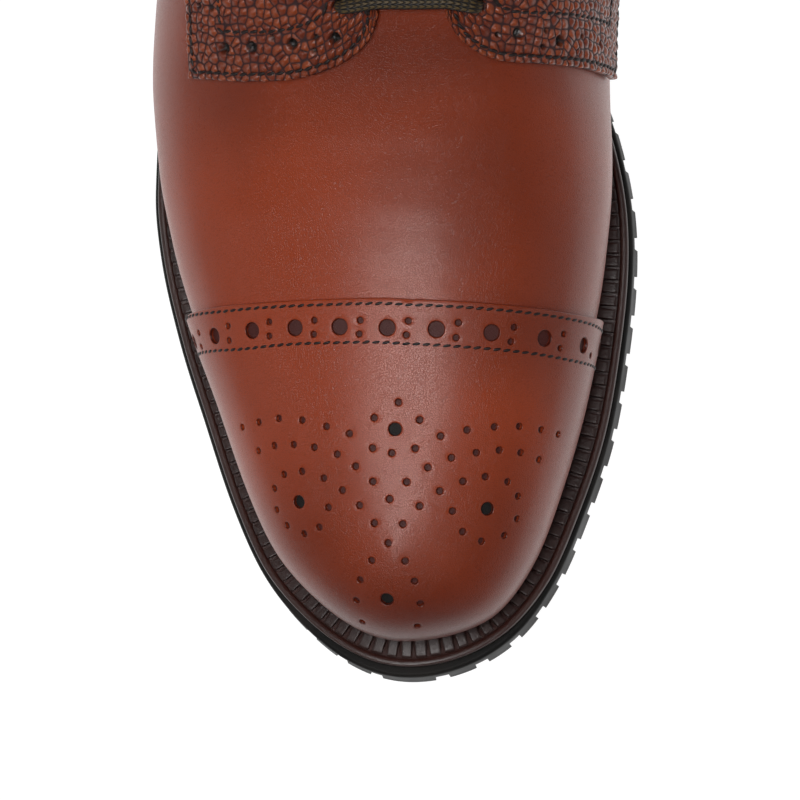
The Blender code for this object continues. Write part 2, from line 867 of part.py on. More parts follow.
def lace_bar(number, share, medial, lateral):
    """One straight bar of lace over the facings, from eyelet to eyelet."""
    q = turn(share)
    lift = QUARTER_EASE + OVERLAY + 2 * GAP + LACE_THICK / 2
    ends = []
    for side, t in ((1, medial), (-1, lateral)):
        edge = smooth(THROAT, pick(side, 1, 2), share)
        ends.append([wall_point(q, side, t + (edge - t) * k / 2, lift) for k in range(3)])
    path = ends[0] + ends[1][::-1]
    solid = Solid()
    rings = []
    for k, point in enumerate(path):
        before, after = path[max(k - 1, 0)], path[min(k + 1, len(path) - 1)]
        along = (after - before) / np.linalg.norm(after - before)
        out = normal(q, 1, 1.0) + normal(q, -1, 1.0)
        wide = np.cross(along, out)
        wide /= np.linalg.norm(wide)
        thick = np.cross(wide, along)
        ring = []
        for n in range(8):
            angle = math.tau * (n + 0.5) / 8
            ring.append(
                point
                + wide * math.cos(angle) * LACE_WIDTH / 2
                + thick * math.sin(angle) * LACE_THICK / 2
            )
        rings.append(ring)
    solid.grid(rings, closed=True)
    for ring in (rings[0], rings[-1]):
        solid.face(*ring)
    return solid.build("lace_bar_%d" % number, LACE_BROWN, 0.6)


def main():
    for thing in list(bpy.data.objects):
        bpy.data.objects.remove(thing)
    outsole()
    heel_base()
    heel_top_piece()
    welt()
    insole()
    cutter = eyelet_cutters()
    punch(upper(), cutter)
    toe_cap()
    punch(quarter("quarter_medial", 1), cutter)
    punch(quarter("quarter_lateral", -1), cutter)
    back_strip()
    tongue()
    for number, row in enumerate(EYELETS, 1):
        lace_bar(number, *row)


main()
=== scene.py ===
# %% [markdown]
# # A right cap toe derby shoe
#
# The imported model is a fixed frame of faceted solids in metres. The toe points to -Y, the
# inner side of the foot is +X and the floor is Z = 0. This lesson lays fine leather, thread,
# rubber and lace over that frame, piece by piece, and never moves the frame itself.

# %% Frame
import math

import bmesh
import bpy
import numpy as np
from mathutils import Matrix, Vector, kdtree
from mathutils.geometry import delaunay_2d_cdt


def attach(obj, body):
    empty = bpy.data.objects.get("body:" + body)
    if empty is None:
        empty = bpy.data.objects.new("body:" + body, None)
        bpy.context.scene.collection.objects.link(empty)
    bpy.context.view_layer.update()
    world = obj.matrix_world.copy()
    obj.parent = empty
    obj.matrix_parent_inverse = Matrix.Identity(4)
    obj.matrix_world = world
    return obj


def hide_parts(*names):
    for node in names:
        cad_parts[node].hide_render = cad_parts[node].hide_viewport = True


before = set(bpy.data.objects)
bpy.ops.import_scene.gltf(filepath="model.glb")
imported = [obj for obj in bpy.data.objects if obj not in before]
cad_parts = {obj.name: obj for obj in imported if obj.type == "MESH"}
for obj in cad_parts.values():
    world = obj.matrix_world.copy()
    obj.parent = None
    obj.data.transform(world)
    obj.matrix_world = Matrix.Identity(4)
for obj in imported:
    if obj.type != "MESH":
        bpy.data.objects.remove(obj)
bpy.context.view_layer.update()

MM = 0.001
print("nodes of the frame:", len(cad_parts))

# %% [markdown]
# ## Sizes of the last
#
# Leather takes its form from a last. The frame's solids were made from a few driving sizes
# and short tables of sections, so the same sizes stand here, and every fine surface is worked
# out again from them at a finer step.

# %% Sizes
SOLE_LENGTH = 309 * MM
BALL_WIDTH = 110 * MM
INSTEP_HEIGHT = 108 * MM
COLLAR_HEIGHT = 91 * MM
HEEL_HEIGHT = 19 * MM
HEEL_LENGTH = 75 * MM
HEEL_TAPER = 1.6 * MM
TOE_SPRING = 13 * MM
SOLE_THICK = 9 * MM
LUG_DEPTH = 3.4 * MM
LUG_LENGTH = 5.8 * MM
LUG_GROOVE = 3.0 * MM
LUG_RIM = 12 * MM
LUG_FLARE = 0.4 * MM
EDGE_ROUND = 1.1 * MM
TOP_PIECE_THICK = 7 * MM
TOP_PIECE_TREAD = 2.4 * MM
WELT_THICK = 3.2 * MM
WELT_STEP = 1.0 * MM
WELT_LIP = 1.7 * MM
WELT_BED = 4 * MM
LIP_SETBACK = 2 * MM
WELT_MARGIN = 9.2 * MM
SWELL = 5 * MM
BULGE_RISE = 30 * MM
WALL = 2.0 * MM
LEATHER = 1.2 * MM
OVERLAY = 1.4 * MM
TONGUE_THICK = 2.2 * MM
TONGUE_EASE = 1.4 * MM
QUARTER_EASE = 0.6 * MM
EYELET_BORE = 3 * MM
LACE_WIDTH = 4.6 * MM
LACE_THICK = 1.8 * MM
BACK_STRIP_WIDTH = 20 * MM
GAP = 0.3 * MM

# Share of the sole's length from the heel; medial and lateral reach in half ball widths
OUTLINE = (
    (0.000, -0.01, 0.01),
    (0.030, 0.40, 0.43),
    (0.090, 0.615, 0.640),
    (0.180, 0.670, 0.700),
    (0.280, 0.630, 0.720),
    (0.370, 0.585, 0.755),
    (0.450, 0.610, 0.835),
    (0.530, 0.745, 0.930),
    (0.600, 0.900, 0.980),
    (0.650, 0.970, 0.978),
    (0.700, 0.990, 0.940),
    (0.760, 0.970, 0.846),
    (0.820, 0.925, 0.720),
    (0.880, 0.832, 0.585),
    (0.930, 0.725, 0.435),
    (0.970, 0.570, 0.230),
    (1.000, 0.160, -0.160),
)
# Share of the sole's length; tread height in heel heights; tread height in toe springs
TREAD = (
    (0.00, 1.00, 0.00),
    (0.20, 0.95, 0.00),
    (0.28, 0.84, 0.00),
    (0.36, 0.58, 0.00),
    (0.45, 0.24, 0.00),
    (0.53, 0.04, 0.00),
    (0.58, 0.00, 0.00),
    (0.70, 0.00, 0.00),
    (0.78, 0.00, 0.07),
    (0.86, 0.00, 0.26),
    (0.93, 0.00, 0.56),
    (1.00, 0.00, 1.00),
)
# Share of the length; margin from sole edge to upper, medial and lateral, in welt margins;
# swell of the side, medial and lateral, in swells; height of the widest line in bulge
# rises; setback of the welt's lip in lip setbacks
SIDES = (
    (0.000, 0.55, 0.55, 0.50, 0.50, 0.60, 0.50),
    (0.200, 0.50, 0.50, 0.80, 0.70, 0.60, 0.50),
    (0.350, 0.35, 0.45, 1.90, 1.10, 0.60, 0.50),
    (0.500, 0.30, 0.52, 2.50, 1.15, 0.56, 0.50),
    (0.600, 0.72, 0.80, 1.35, 1.00, 0.50, 0.50),
    (0.700, 0.98, 1.03, 0.80, 0.80, 0.42, 0.50),
    (0.820, 0.95, 1.00, 0.35, 0.40, 0.36, 0.50),
    (0.920, 0.82, 0.97, 0.25, 0.30, 0.32, 0.50),
    (0.965, 0.86, 1.02, 0.25, 0.25, 0.32, 0.80),
    (1.000, 1.13, 1.13, 0.30, 0.30, 0.32, 1.15),
)
# Share of the length; ridge height in instep heights; ridge's place across in half ball
# widths, medial positive; fullness of the section, medial and lateral
RIDGE = (
    (0.00, 1.100, 0.000, 2.10, 2.10),
    (0.18, 1.250, 0.020, 2.10, 2.10),
    (0.30, 1.220, 0.060, 2.10, 2.05),
    (0.36, 1.120, 0.090, 2.10, 2.00),
    (0.41, 1.015, 0.120, 2.10, 2.00),
    (0.45, 0.930, 0.150, 2.10, 2.00),
    (0.52, 0.805, 0.200, 2.10, 2.00),
    (0.60, 0.665, 0.200, 2.15, 1.95),
    (0.68, 0.565, 0.190, 2.20, 2.00),
    (0.76, 0.510, 0.180, 2.30, 2.10),
    (0.84, 0.480, 0.170, 2.40, 2.25),
    (0.90, 0.460, 0.160, 2.40, 2.40),
    (1.00, 0.420, 0.160, 2.40, 2.40),
)
# Share of the length; height of the collar's edge in collar heights
TOPLINE = (
    (0.00, 1.00),
    (0.05, 0.99),
    (0.14, 0.91),
    (0.23, 0.85),
    (0.30, 0.87),
    (0.36, 0.97),
    (0.41, 1.10),
    (0.45, 1.25),
)
# Share of the length; t of the facing's inner edge, medial and lateral
THROAT = (
    (0.38, 0.900, 0.910),
    (0.50, 0.915, 0.935),
    (0.60, 0.920, 0.940),
)
# Share of the length; t of the quarter's lower edge, medial and lateral
QUARTER_BORDER = (
    (0.28, 0.00, 0.00),
    (0.33, 0.00, 0.03),
    (0.38, 0.03, 0.20),
    (0.43, 0.13, 0.40),
    (0.48, 0.20, 0.51),
    (0.54, 0.245, 0.54),
    (0.60, 0.285, 0.545),
)
# Front edge of each quarter: share of the length at the throat, at the border's corner, how
# far the rounded tip falls back, and the share of the edge that the rounding takes
QUARTER_FRONT = {
    1: (0.588, 0.578, 0.033, 0.24),
    -1: (0.602, 0.593, 0.045, 0.26),
}
# Share of the length and t of the eyelets, medial and lateral
EYELETS = (
    (0.553, 0.835, 0.875),
    (0.523, 0.833, 0.870),
    (0.494, 0.830, 0.865),
    (0.465, 0.828, 0.860),
    (0.437, 0.825, 0.855),
)
FRONT_BLEND = 0.12
CAP_SHARE = 0.748
THROAT_SHARE = 0.552
LUG_START = 0.40
FAN_TOE = 62 * MM
FAN_TOE_PULL = 30 * MM
FAN_HEEL = 50 * MM
FAN_HEEL_PUSH = 18 * MM
WIDEST_T = 0.22
CLIMBS = 11
QUARTER_ROWS = 9
SHARED_ROWS = 3
OVERLAY_FOOT = 0.02

# %% [markdown]
# ## The last as a surface
#
# A place on the last is (w, t): w goes once round the shoe from the heel along the inner side
# to the toe (0.5) and back, and t climbs from the welt (0) to the ridge (1). The functions
# take whole arrays, and the surface is kept in one fine table, so a million places cost
# little more than one.

# %% Last
def smooth(table, column, at):
    """Values of a table's column at shares, on a curve that never overshoots its rows."""
    xs = np.array([row[0] for row in table])
    ys = np.array([row[column] for row in table])
    rates = np.diff(ys) / np.diff(xs)
    slopes = np.concatenate((rates[:1], (rates[1:] + rates[:-1]) / 2, rates[-1:]))
    limit = 3 * np.minimum(abs(rates[1:]), abs(rates[:-1]))
    slopes[1:-1] = np.clip(slopes[1:-1], -limit, limit) * (rates[1:] * rates[:-1] > 0)
    at = np.clip(at, xs[0], xs[-1])
    k = np.clip(np.searchsorted(xs, at) - 1, 0, len(xs) - 2)
    span = xs[k + 1] - xs[k]
    u = (at - xs[k]) / span
    return (
        (2 * u**3 - 3 * u**2 + 1) * ys[k]
        + (u**3 - 2 * u**2 + u) * slopes[k] * span
        + (3 * u**2 - 2 * u**3) * ys[k + 1]
        + (u**3 - u**2) * slopes[k + 1] * span
    )


def ease(value):
    value = np.clip(value, 0.0, 1.0)
    return value * value * (3 - 2 * value)


def turn(share):
    return np.arccos(1 - 2 * np.asarray(share, float)) / np.pi


def share_at(q):
    return (1 - np.cos(np.pi * np.asarray(q, float))) / 2


def around(w):
    """q from heel (0) to toe (1), and side, +1 medial and -1 lateral."""
    w = np.asarray(w, float) % 1.0
    return np.where(w <= 0.5, 2 * w, 2 - 2 * w), np.where(w <= 0.5, 1, -1)


def round_place(q, side):
    return q / 2 if side > 0 else 1 - q / 2


def by_side(table, medial, lateral, at, side):
    return np.where(side > 0, smooth(table, medial, at), smooth(table, lateral, at))


OUTLINE_BY_TURN = [(float(turn(share)), medial, lateral) for share, medial, lateral in OUTLINE]


def sole_edge(w):
    """(distance from the heel, distance across) of the outsole's edge."""
    q, side = around(w)
    across = by_side(OUTLINE_BY_TURN, 1, 2, q, side) * BALL_WIDTH / 2
    return np.stack((SOLE_LENGTH * share_at(q), side * across), axis=-1)


def inset(w, distance):
    step = 0.0005
    along = sole_edge(w + step) - sole_edge(w - step)
    out = np.stack((-along[..., 1], along[..., 0]), axis=-1)
    out /= np.linalg.norm(out, axis=-1, keepdims=True)
    return sole_edge(w) - np.asarray(distance)[..., None] * out


OUTLINE_POINTS = sole_edge(np.linspace(0, 1, 401))
MIDDLE = (OUTLINE_POINTS[:, 1].max() + OUTLINE_POINTS[:, 1].min()) / 2


def place(plan, height):
    x = plan[..., 1] - MIDDLE
    y = SOLE_LENGTH / 2 - plan[..., 0]
    return np.stack(np.broadcast_arrays(x, y, height), axis=-1)


def tread_height(along):
    share = along / SOLE_LENGTH
    return HEEL_HEIGHT * smooth(TREAD, 1, share) + TOE_SPRING * smooth(TREAD, 2, share)


def feather_height(along):
    return tread_height(along) + SOLE_THICK + GAP + WELT_THICK + GAP


def margin(w):
    q, side = around(w)
    return WELT_MARGIN * by_side(SIDES, 1, 2, share_at(q), side)


def lip_setback(w):
    return LIP_SETBACK * smooth(SIDES, 6, share_at(around(w)[0]))


def ridge_share(q):
    along = SOLE_LENGTH * share_at(q)
    pulled = along - FAN_TOE_PULL * ease((along - (SOLE_LENGTH - FAN_TOE)) / FAN_TOE)
    return (pulled + FAN_HEEL_PUSH * ease((FAN_HEEL - pulled) / FAN_HEEL)) / SOLE_LENGTH


def ridge_height(share):
    return INSTEP_HEIGHT * smooth(RIDGE, 1, share)


def ridge_plan(w):
    top = ridge_share(around(w)[0])
    return np.stack((SOLE_LENGTH * top, smooth(RIDGE, 2, top) * BALL_WIDTH / 2), axis=-1)


def skin(w, t):
    """Points of the last's surface."""
    q, side = around(w)
    share = share_at(q)
    foot = inset(w, margin(w))
    widest = inset(w, margin(w) - SWELL * by_side(SIDES, 3, 4, share, side))
    rise = BULGE_RISE * smooth(SIDES, 5, share)
    low = feather_height(foot[..., 0])
    u = np.clip(t / WIDEST_T, 0, 1)
    below = place(foot + (widest - foot) * (1 - (1 - u) ** 2)[..., None], low + rise * u)
    top = ridge_share(q)
    ridge = ridge_plan(w)
    near = 0.005
    slope = (ridge_height(top + near) - ridge_height(top - near)) / (2 * near * SOLE_LENGTH)
    power = 2 / by_side(RIDGE, 3, 4, top, side)
    angle = np.clip((t - WIDEST_T) / (1 - WIDEST_T), 0, 1) * np.pi / 2
    lean = np.maximum(np.cos(angle), 0) ** power
    plan = ridge + (widest - ridge) * lean[..., None]
    crown = ridge_height(top) + slope * (plan[..., 0] - ridge[..., 0])
    above = place(plan, low + rise + (crown - low - rise) * np.sin(angle) ** power)
    return np.where((t < WIDEST_T)[..., None], below, above)


W_STEPS = 1600
T_STEPS = 320
LAST_W = np.arange(W_STEPS) / W_STEPS
LAST_T = np.linspace(0, 1, T_STEPS + 1)
LAST = skin(LAST_W[:, None], LAST_T[None, :])
UP = np.gradient(LAST, axis=1)
AHEAD = np.roll(LAST, -1, axis=0) - np.roll(LAST, 1, axis=0)
OUT = np.cross(UP, AHEAD)
OUT /= np.maximum(np.linalg.norm(OUT, axis=-1, keepdims=True), 1e-12)
OUT[..., 2] = np.maximum(OUT[..., 2], 0)
OTHER_SIDE = (W_STEPS - np.arange(W_STEPS)) % W_STEPS
OUT[:, -1] = OUT[:, -2] + OUT[OTHER_SIDE, -2]
OUT /= np.linalg.norm(OUT, axis=-1, keepdims=True)


def between(table, w, t):
    """Values of a last table between its rows and columns."""
    w, t = np.broadcast_arrays(np.asarray(w, float) % 1.0, np.asarray(t, float))
    i = w * W_STEPS
    j = np.clip(t, 0, 1) * T_STEPS
    i0 = np.floor(i).astype(int) % W_STEPS
    j0 = np.minimum(np.floor(j).astype(int), T_STEPS - 1)
    i1 = (i0 + 1) % W_STEPS
    a = (i - np.floor(i))[..., None]
    b = (j - j0)[..., None]
    low = table[i0, j0] * (1 - a) + table[i1, j0] * a
    high = table[i0, j0 + 1] * (1 - a) + table[i1, j0 + 1] * a
    return low * (1 - b) + high * b


def out_of_last(w, t):
    out = between(OUT, w, t)
    return out / np.linalg.norm(out, axis=-1, keepdims=True)


def on_last(w, t, offset=0.0):
    return between(LAST, w, t) + np.asarray(offset)[..., None] * out_of_last(w, t)


def t_at_height(w, height):
    low, high = np.zeros(np.shape(w)), np.ones(np.shape(w))
    for _ in range(18):
        middle = (low + high) / 2
        under = between(LAST, w, middle)[..., 2] < height
        low = np.where(under, middle, low)
        high = np.where(under, high, middle)
    return low


def throat_t(w):
    q, side = around(w)
    return by_side(THROAT, 1, 2, share_at(q), side)


def top_t(w):
    """t of the upper's edge: the ridge ahead of the throat, then facing and collar."""
    share = share_at(around(w)[0])
    collar = t_at_height(w, COLLAR_HEIGHT * smooth(TOPLINE, 1, share))
    return np.where(share >= THROAT_SHARE, 1.0, np.minimum(throat_t(w), collar))


print("last table:", LAST.shape, "height of the ridge", round(float(LAST[..., 2].max()), 4))

# %% [markdown]
# ## Camera
#
# The photograph looks almost straight down on the forepart, leaning a little towards the
# inner side and the toe, with a small roll. The lens is long, so the shoe shows nearly
# without perspective. The same numbers turn a pixel of the photograph into a place on the
# leather, which is how the punched holes are charted further down.

# %% Camera
PHOTO_SIZE = 800
SENSOR = 36
AIM = np.array((5.8, -94.5, 30.0)) * MM
CAMERA_DISTANCE = 1.1
LEAN_TO_INNER_SIDE = math.radians(6.5)
LEAN_TO_TOE = math.radians(7.0)
ROLL = math.radians(2.5)
PIXELS_PER_METRE = 4500
SCALE_HEIGHT = 10 * MM


def unit(vector):
    return vector / np.linalg.norm(vector)


toward = unit(np.array((math.tan(LEAN_TO_INNER_SIDE), -math.tan(LEAN_TO_TOE), 1.0)))
camera_place = AIM + CAMERA_DISTANCE * toward
camera_right = unit(np.cross(-toward, (-math.sin(ROLL), math.cos(ROLL), 0.0)))
camera_up = np.cross(camera_right, -toward)
scale_depth = (np.array((AIM[0], AIM[1], SCALE_HEIGHT)) - camera_place) @ -toward
focal_pixels = PIXELS_PER_METRE * scale_depth

camera = bpy.data.objects.new("camera", bpy.data.cameras.new("camera"))
bpy.context.collection.objects.link(camera)
camera.data.sensor_width = SENSOR
camera.data.lens = focal_pixels * SENSOR / PHOTO_SIZE
camera.data.clip_start = 0.01
camera.data.clip_end = 20
turned = Matrix([list(row) for row in np.stack((camera_right, camera_up, toward), axis=1)])
camera.matrix_world = Matrix.Translation(Vector(camera_place)) @ turned.to_4x4()
bpy.context.scene.camera = camera
print("lens:", round(camera.data.lens, 1), "mm")


def to_pixels(points):
    away = points - camera_place
    depth = away @ -toward
    half = PHOTO_SIZE / 2
    across = half + focal_pixels * (away @ camera_right) / depth
    down = half - focal_pixels * (away @ camera_up) / depth
    return np.stack((across, down), axis=-1)


def from_pixels(pixels, offset):
    """(w, t) of the places at a height over the last that show at these pixels."""
    surface = LAST + offset * OUT
    seen = to_pixels(surface)
    hidden = (OUT * (camera_place - surface)).sum(axis=-1) < 0
    found = []
    for pixel in pixels:
        away = ((seen - np.array(pixel)) ** 2).sum(axis=-1) + 1e6 * hidden
        i, j = np.unravel_index(np.argmin(away), away.shape)
        i1, j1 = (i + 1) % W_STEPS, min(j + 1, T_STEPS)
        i0, j0 = (i - 1) % W_STEPS, j1 - 2
        steps = np.stack(((seen[i1, j] - seen[i0, j]) / 2, (seen[i, j1] - seen[i, j0]) / 2), 1)
        move = np.clip(np.linalg.lstsq(steps, np.array(pixel) - seen[i, j], rcond=None)[0], -1, 1)
        found.append(((i + move[0]) / W_STEPS, min((j + move[1]) / T_STEPS, 1.0)))
    return np.array(found)


# %% [markdown]
# ## Tools for meshes
#
# Every piece ends as a plain mesh whose object stays at the origin. These helpers turn rows
# of points into faces, close a sheet into a wall with thickness, and space points evenly.

# %% Mesh helpers
def grid_faces(rows, columns, wrap_rows=False, wrap_columns=False, start=0):
    i = np.arange(rows if wrap_rows else rows - 1)
    j = np.arange(columns if wrap_columns else columns - 1)
    i, j = np.meshgrid(i, j, indexing="ij")
    i1, j1 = (i + 1) % rows, (j + 1) % columns
    ring = (i * columns + j, i1 * columns + j, i1 * columns + j1, i * columns + j1)
    return (np.stack(ring, axis=-1).reshape(-1, 4) + start).tolist()


def piece(name, points, faces, material, merge=1e-7, sharp=None):
    """A mesh object of merged points, with its faces turned outwards."""
    mesh = bpy.data.meshes.new(name)
    mesh.from_pydata(np.asarray(points).reshape(-1, 3).tolist(), [], faces)
    shape = bmesh.new()
    shape.from_mesh(mesh)
    bmesh.ops.remove_doubles(shape, verts=shape.verts, dist=merge)
    bmesh.ops.recalc_face_normals(shape, faces=shape.faces)
    shape.to_mesh(mesh)
    shape.free()
    thing = bpy.data.objects.new(name, mesh)
    bpy.context.collection.objects.link(thing)
    mesh.materials.append(material)
    mesh.shade_smooth()
    if sharp:
        mesh.set_sharp_from_angle(angle=math.radians(sharp))
    return thing


def join(name, things):
    """One mesh object from several."""
    shape = bmesh.new()
    for thing in things:
        shape.from_mesh(thing.data)
    mesh = bpy.data.meshes.new(name)
    materials = []
    for thing in things:
        for material in thing.data.materials:
            if material not in materials:
                materials.append(material)
    shape.to_mesh(mesh)
    shape.free()
    for material in materials:
        mesh.materials.append(material)
    for thing in things:
        bpy.data.objects.remove(thing)
    joined = bpy.data.objects.new(name, mesh)
    bpy.context.collection.objects.link(joined)
    return joined


def lengths(path):
    steps = np.linalg.norm(np.diff(path, axis=0), axis=-1)
    return np.concatenate(([0.0], np.cumsum(steps)))


def even_turns(first, last, step, t=0.3):
    """q values from first to last, an even way apart round the outer side."""
    samples = np.linspace(first, last, 400)
    way = (lengths(on_last(samples / 2, t)) + lengths(on_last(1 - samples / 2, t))) / 2
    count = max(2, round(way[-1] / step))
    return np.interp(np.linspace(0, way[-1], count + 1), way, samples)


def set_attribute(thing, name, values):
    layer = thing.data.attributes.new(name, "FLOAT", "POINT")
    layer.data.foreach_set("value", np.asarray(values, np.float32))


def points_of(thing):
    flat = np.zeros(len(thing.data.vertices) * 3, np.float32)
    thing.data.vertices.foreach_get("co", flat)
    return flat.reshape(-1, 3).astype(float)


def done(thing, slot, *nodes):
    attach(thing, "root")
    if nodes:
        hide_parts(*nodes)
    print(thing.name, "faces", len(thing.data.polygons))
    return thing


# %% [markdown]
# ## Tools for nodes
#
# Materials and Geometry Nodes are both built in code. One helper adds a node, sets it and
# links it, so that a tree reads like a recipe.

# %% Node helpers
def put(tree, kind, inputs=None, **settings):
    node = tree.nodes.new(kind)
    for name, value in settings.items():
        setattr(node, name, value)
    for key, value in (inputs or {}).items():
        if isinstance(value, bpy.types.NodeSocket):
            tree.links.new(value, node.inputs[key])
        else:
            node.inputs[key].default_value = value
    return node


def calc(tree, operation, first, second=0.0, third=0.0):
    inputs = {0: first, 1: second, 2: third}
    return put(tree, "ShaderNodeMath", inputs, operation=operation).outputs[0]


def ramp(tree, value, low, high, start=0.0, end=1.0):
    inputs = {"Value": value, "From Min": low, "From Max": high, "To Min": start, "To Max": end}
    return put(tree, "ShaderNodeMapRange", inputs, interpolation_type="SMOOTHSTEP").outputs[0]


def mixed(tree, factor, first, second, mode="MIX"):
    inputs = {0: factor, 6: first, 7: second}
    return put(tree, "ShaderNodeMix", inputs, data_type="RGBA", blend_type=mode).outputs[2]


def new_group(name, kind, inputs, outputs):
    """A node group with named sockets: inputs and outputs are (name, type, value) rows."""
    tree = bpy.data.node_groups.new(name, kind)
    for in_out, rows in (("INPUT", inputs), ("OUTPUT", outputs)):
        for label, socket, value in rows:
            made = tree.interface.new_socket(label, in_out=in_out, socket_type=socket)
            if value is not None:
                made.default_value = value
    start = tree.nodes.new("NodeGroupInput")
    end = tree.nodes.new("NodeGroupOutput")
    return tree, start.outputs, end


def use(tree, group, **inputs):
    node = tree.nodes.new("ShaderNodeGroup")
    node.node_tree = group
    for label, value in inputs.items():
        socket = node.inputs[label]
        if isinstance(value, bpy.types.NodeSocket):
            tree.links.new(value, socket)
        else:
            socket.default_value = value
    return node.outputs


def new_material(name):
    material = bpy.data.materials.new(name)
    material.use_nodes = True
    tree = material.node_tree
    return material, tree, tree.nodes["Principled BSDF"].inputs


FLOAT = "NodeSocketFloat"
VECTOR = "NodeSocketVector"
COLOUR = "NodeSocketColor"


def colour(red, green, blue):
    return (red, green, blue, 1.0)


# %% [markdown]
# ## Shared effects
#
# Calf shows very fine pores and hair cells, and its dye lies in soft clouds, darker where the
# maker burnished it and where shade is painted in. Both effects are node groups, used by each
# leather with its own values.

# %% Shared shader groups
def make_fine_grain():
    """Pores and soft wrinkles of smooth leather, as a height from 0 to 1."""
    rows = (("Vector", VECTOR, None), ("Pore Size", FLOAT, 0.00045), ("Wrinkle", FLOAT, 0.5))
    tree, given, end = new_group(
        "fine_grain", "ShaderNodeTree", rows, (("Height", FLOAT, None), ("Cells", FLOAT, None))
    )
    scale = calc(tree, "DIVIDE", 1.0, given["Pore Size"])
    cells = put(
        tree, "ShaderNodeTexVoronoi",
        {"Vector": given["Vector"], "Scale": scale, "Randomness": 1.0},
        feature="DISTANCE_TO_EDGE",
    ).outputs["Distance"]
    pores = ramp(tree, cells, 0.0, 0.16)
    broad = calc(tree, "MULTIPLY", scale, 0.16)
    folds = put(
        tree, "ShaderNodeTexNoise",
        {"Vector": given["Vector"], "Scale": broad, "Detail": 5.0, "Roughness": 0.62},
    ).outputs["Fac"]
    waved = calc(tree, "MULTIPLY", folds, given["Wrinkle"])
    tree.links.new(calc(tree, "ADD", pores, waved), end.inputs["Height"])
    tree.links.new(pores, end.inputs["Cells"])
    return tree


def make_patina_and_shade():
    """Colour that goes from light to dark with a mask and drifts in soft clouds."""
    rows = (
        ("Vector", VECTOR, None),
        ("Light", COLOUR, colour(0.3, 0.08, 0.02)),
        ("Dark", COLOUR, colour(0.08, 0.015, 0.006)),
        ("Mask", FLOAT, 0.0),
        ("Cloud Size", FLOAT, 0.02),
        ("Cloud Depth", FLOAT, 0.3),
    )
    tree, given, end = new_group("patina_and_shade", "ShaderNodeTree", rows, (("Color", COLOUR, None),))
    scale = calc(tree, "DIVIDE", 1.0, given["Cloud Size"])
    clouds = put(
        tree, "ShaderNodeTexNoise",
        {"Vector": given["Vector"], "Scale": scale, "Detail": 4.0, "Roughness": 0.55},
    ).outputs["Fac"]
    drift = calc(tree, "MULTIPLY", calc(tree, "SUBTRACT", clouds, 0.5), given["Cloud Depth"])
    amount = put(
        tree, "ShaderNodeClamp", {"Value": calc(tree, "ADD", given["Mask"], drift)}
    ).outputs[0]
    tree.links.new(mixed(tree, amount, given["Light"], given["Dark"]), end.inputs["Color"])
    return tree


FINE_GRAIN = make_fine_grain()
PATINA_AND_SHADE = make_patina_and_shade()

# %% [markdown]
# ## Finishes
#
# Each finish starts from its real colour under white light. Calf has a waxed top: a soft
# sheen over a slightly rough base. The grained leather is plated and then polished, so its
# pebbles shine while the dye gathers dark in the hollows between them.

# %% Leather finishes
def attribute(tree, name):
    return put(tree, "ShaderNodeAttribute", attribute_name=name).outputs["Fac"]


def object_place(tree):
    return put(tree, "ShaderNodeTexCoord").outputs["Object"]


def bump(tree, shader, height, strength, distance):
    inputs = {"Height": height, "Strength": strength, "Distance": distance}
    tree.links.new(put(tree, "ShaderNodeBump", inputs).outputs[0], shader["Normal"])


def smooth_leather(name, light, dark, roughness, coat, pore=0.00045, depth=0.00005, clouds=0.35):
    """Polished leather, darkened where its mask attribute holds burnish and painted shade."""
    material, tree, shader = new_material(name)
    where = object_place(tree)
    grain = use(tree, FINE_GRAIN, **{"Vector": where, "Pore Size": pore})
    dye_and_shade = use(
        tree, PATINA_AND_SHADE,
        **{"Vector": where, "Light": light, "Dark": dark, "Cloud Depth": clouds,
           "Mask": attribute(tree, "burnish_and_shade")},
    )["Color"]
    pores = ramp(tree, grain["Cells"], 0.0, 1.0, 0.78, 1.0)
    shade = put(tree, "ShaderNodeCombineColor", {0: pores, 1: pores, 2: pores}).outputs[0]
    tree.links.new(mixed(tree, 1.0, dye_and_shade, shade, "MULTIPLY"), shader["Base Color"])
    tree.links.new(
        ramp(tree, grain["Height"], 0.2, 1.4, roughness + 0.08, roughness - 0.04),
        shader["Roughness"],
    )
    shader["Coat Weight"].default_value = coat
    shader["Coat Roughness"].default_value = 0.32
    bump(tree, shader, grain["Height"], 0.55, depth)
    return material


CALF = smooth_leather(
    "cognac_calf", colour(0.42, 0.055, 0.010), colour(0.07, 0.007, 0.0025), 0.32, 0.1
)
STRIP_CALF = smooth_leather(
    "strip_calf", colour(0.36, 0.05, 0.010), colour(0.07, 0.007, 0.0025), 0.36, 0.1
)
LINING = smooth_leather(
    "natural_lining", colour(0.50, 0.33, 0.18), colour(0.34, 0.2, 0.1), 0.6, 0.0, 0.0006
)
TONGUE_CALF = smooth_leather(
    "tongue_calf", colour(0.16, 0.04, 0.014), colour(0.05, 0.01, 0.005), 0.5, 0.1
)
WELT_LEATHER = smooth_leather(
    "welt_leather", colour(0.045, 0.012, 0.008), colour(0.012, 0.005, 0.004), 0.38, 0.3,
    0.0003, 0.00003, 1.2,
)
RIB_LEATHER = smooth_leather(
    "wheeled_rib", colour(0.036, 0.012, 0.009), colour(0.006, 0.004, 0.004), 0.42, 0.3,
    0.0004, 0.00008, 2.0,
)
# Floors of the punched holes: the band's backing is calf darkened with painted shade, and the open
# medallion holes get a near-black floor of painted shade
SHADED_BACKING = smooth_leather(
    "shaded_punched_backing", colour(0.085, 0.014, 0.010), colour(0.02, 0.006, 0.005), 0.6, 0.0
)
PAINTED_HOLE_SHADE = smooth_leather(
    "painted_hole_shade", colour(0.006, 0.004, 0.003), colour(0.003, 0.002, 0.002), 0.7, 0.0
)

PEBBLE_SIZE = 2.1 * MM
PEBBLE_RANDOM = 0.72
PEBBLE_EDGE = 0.17


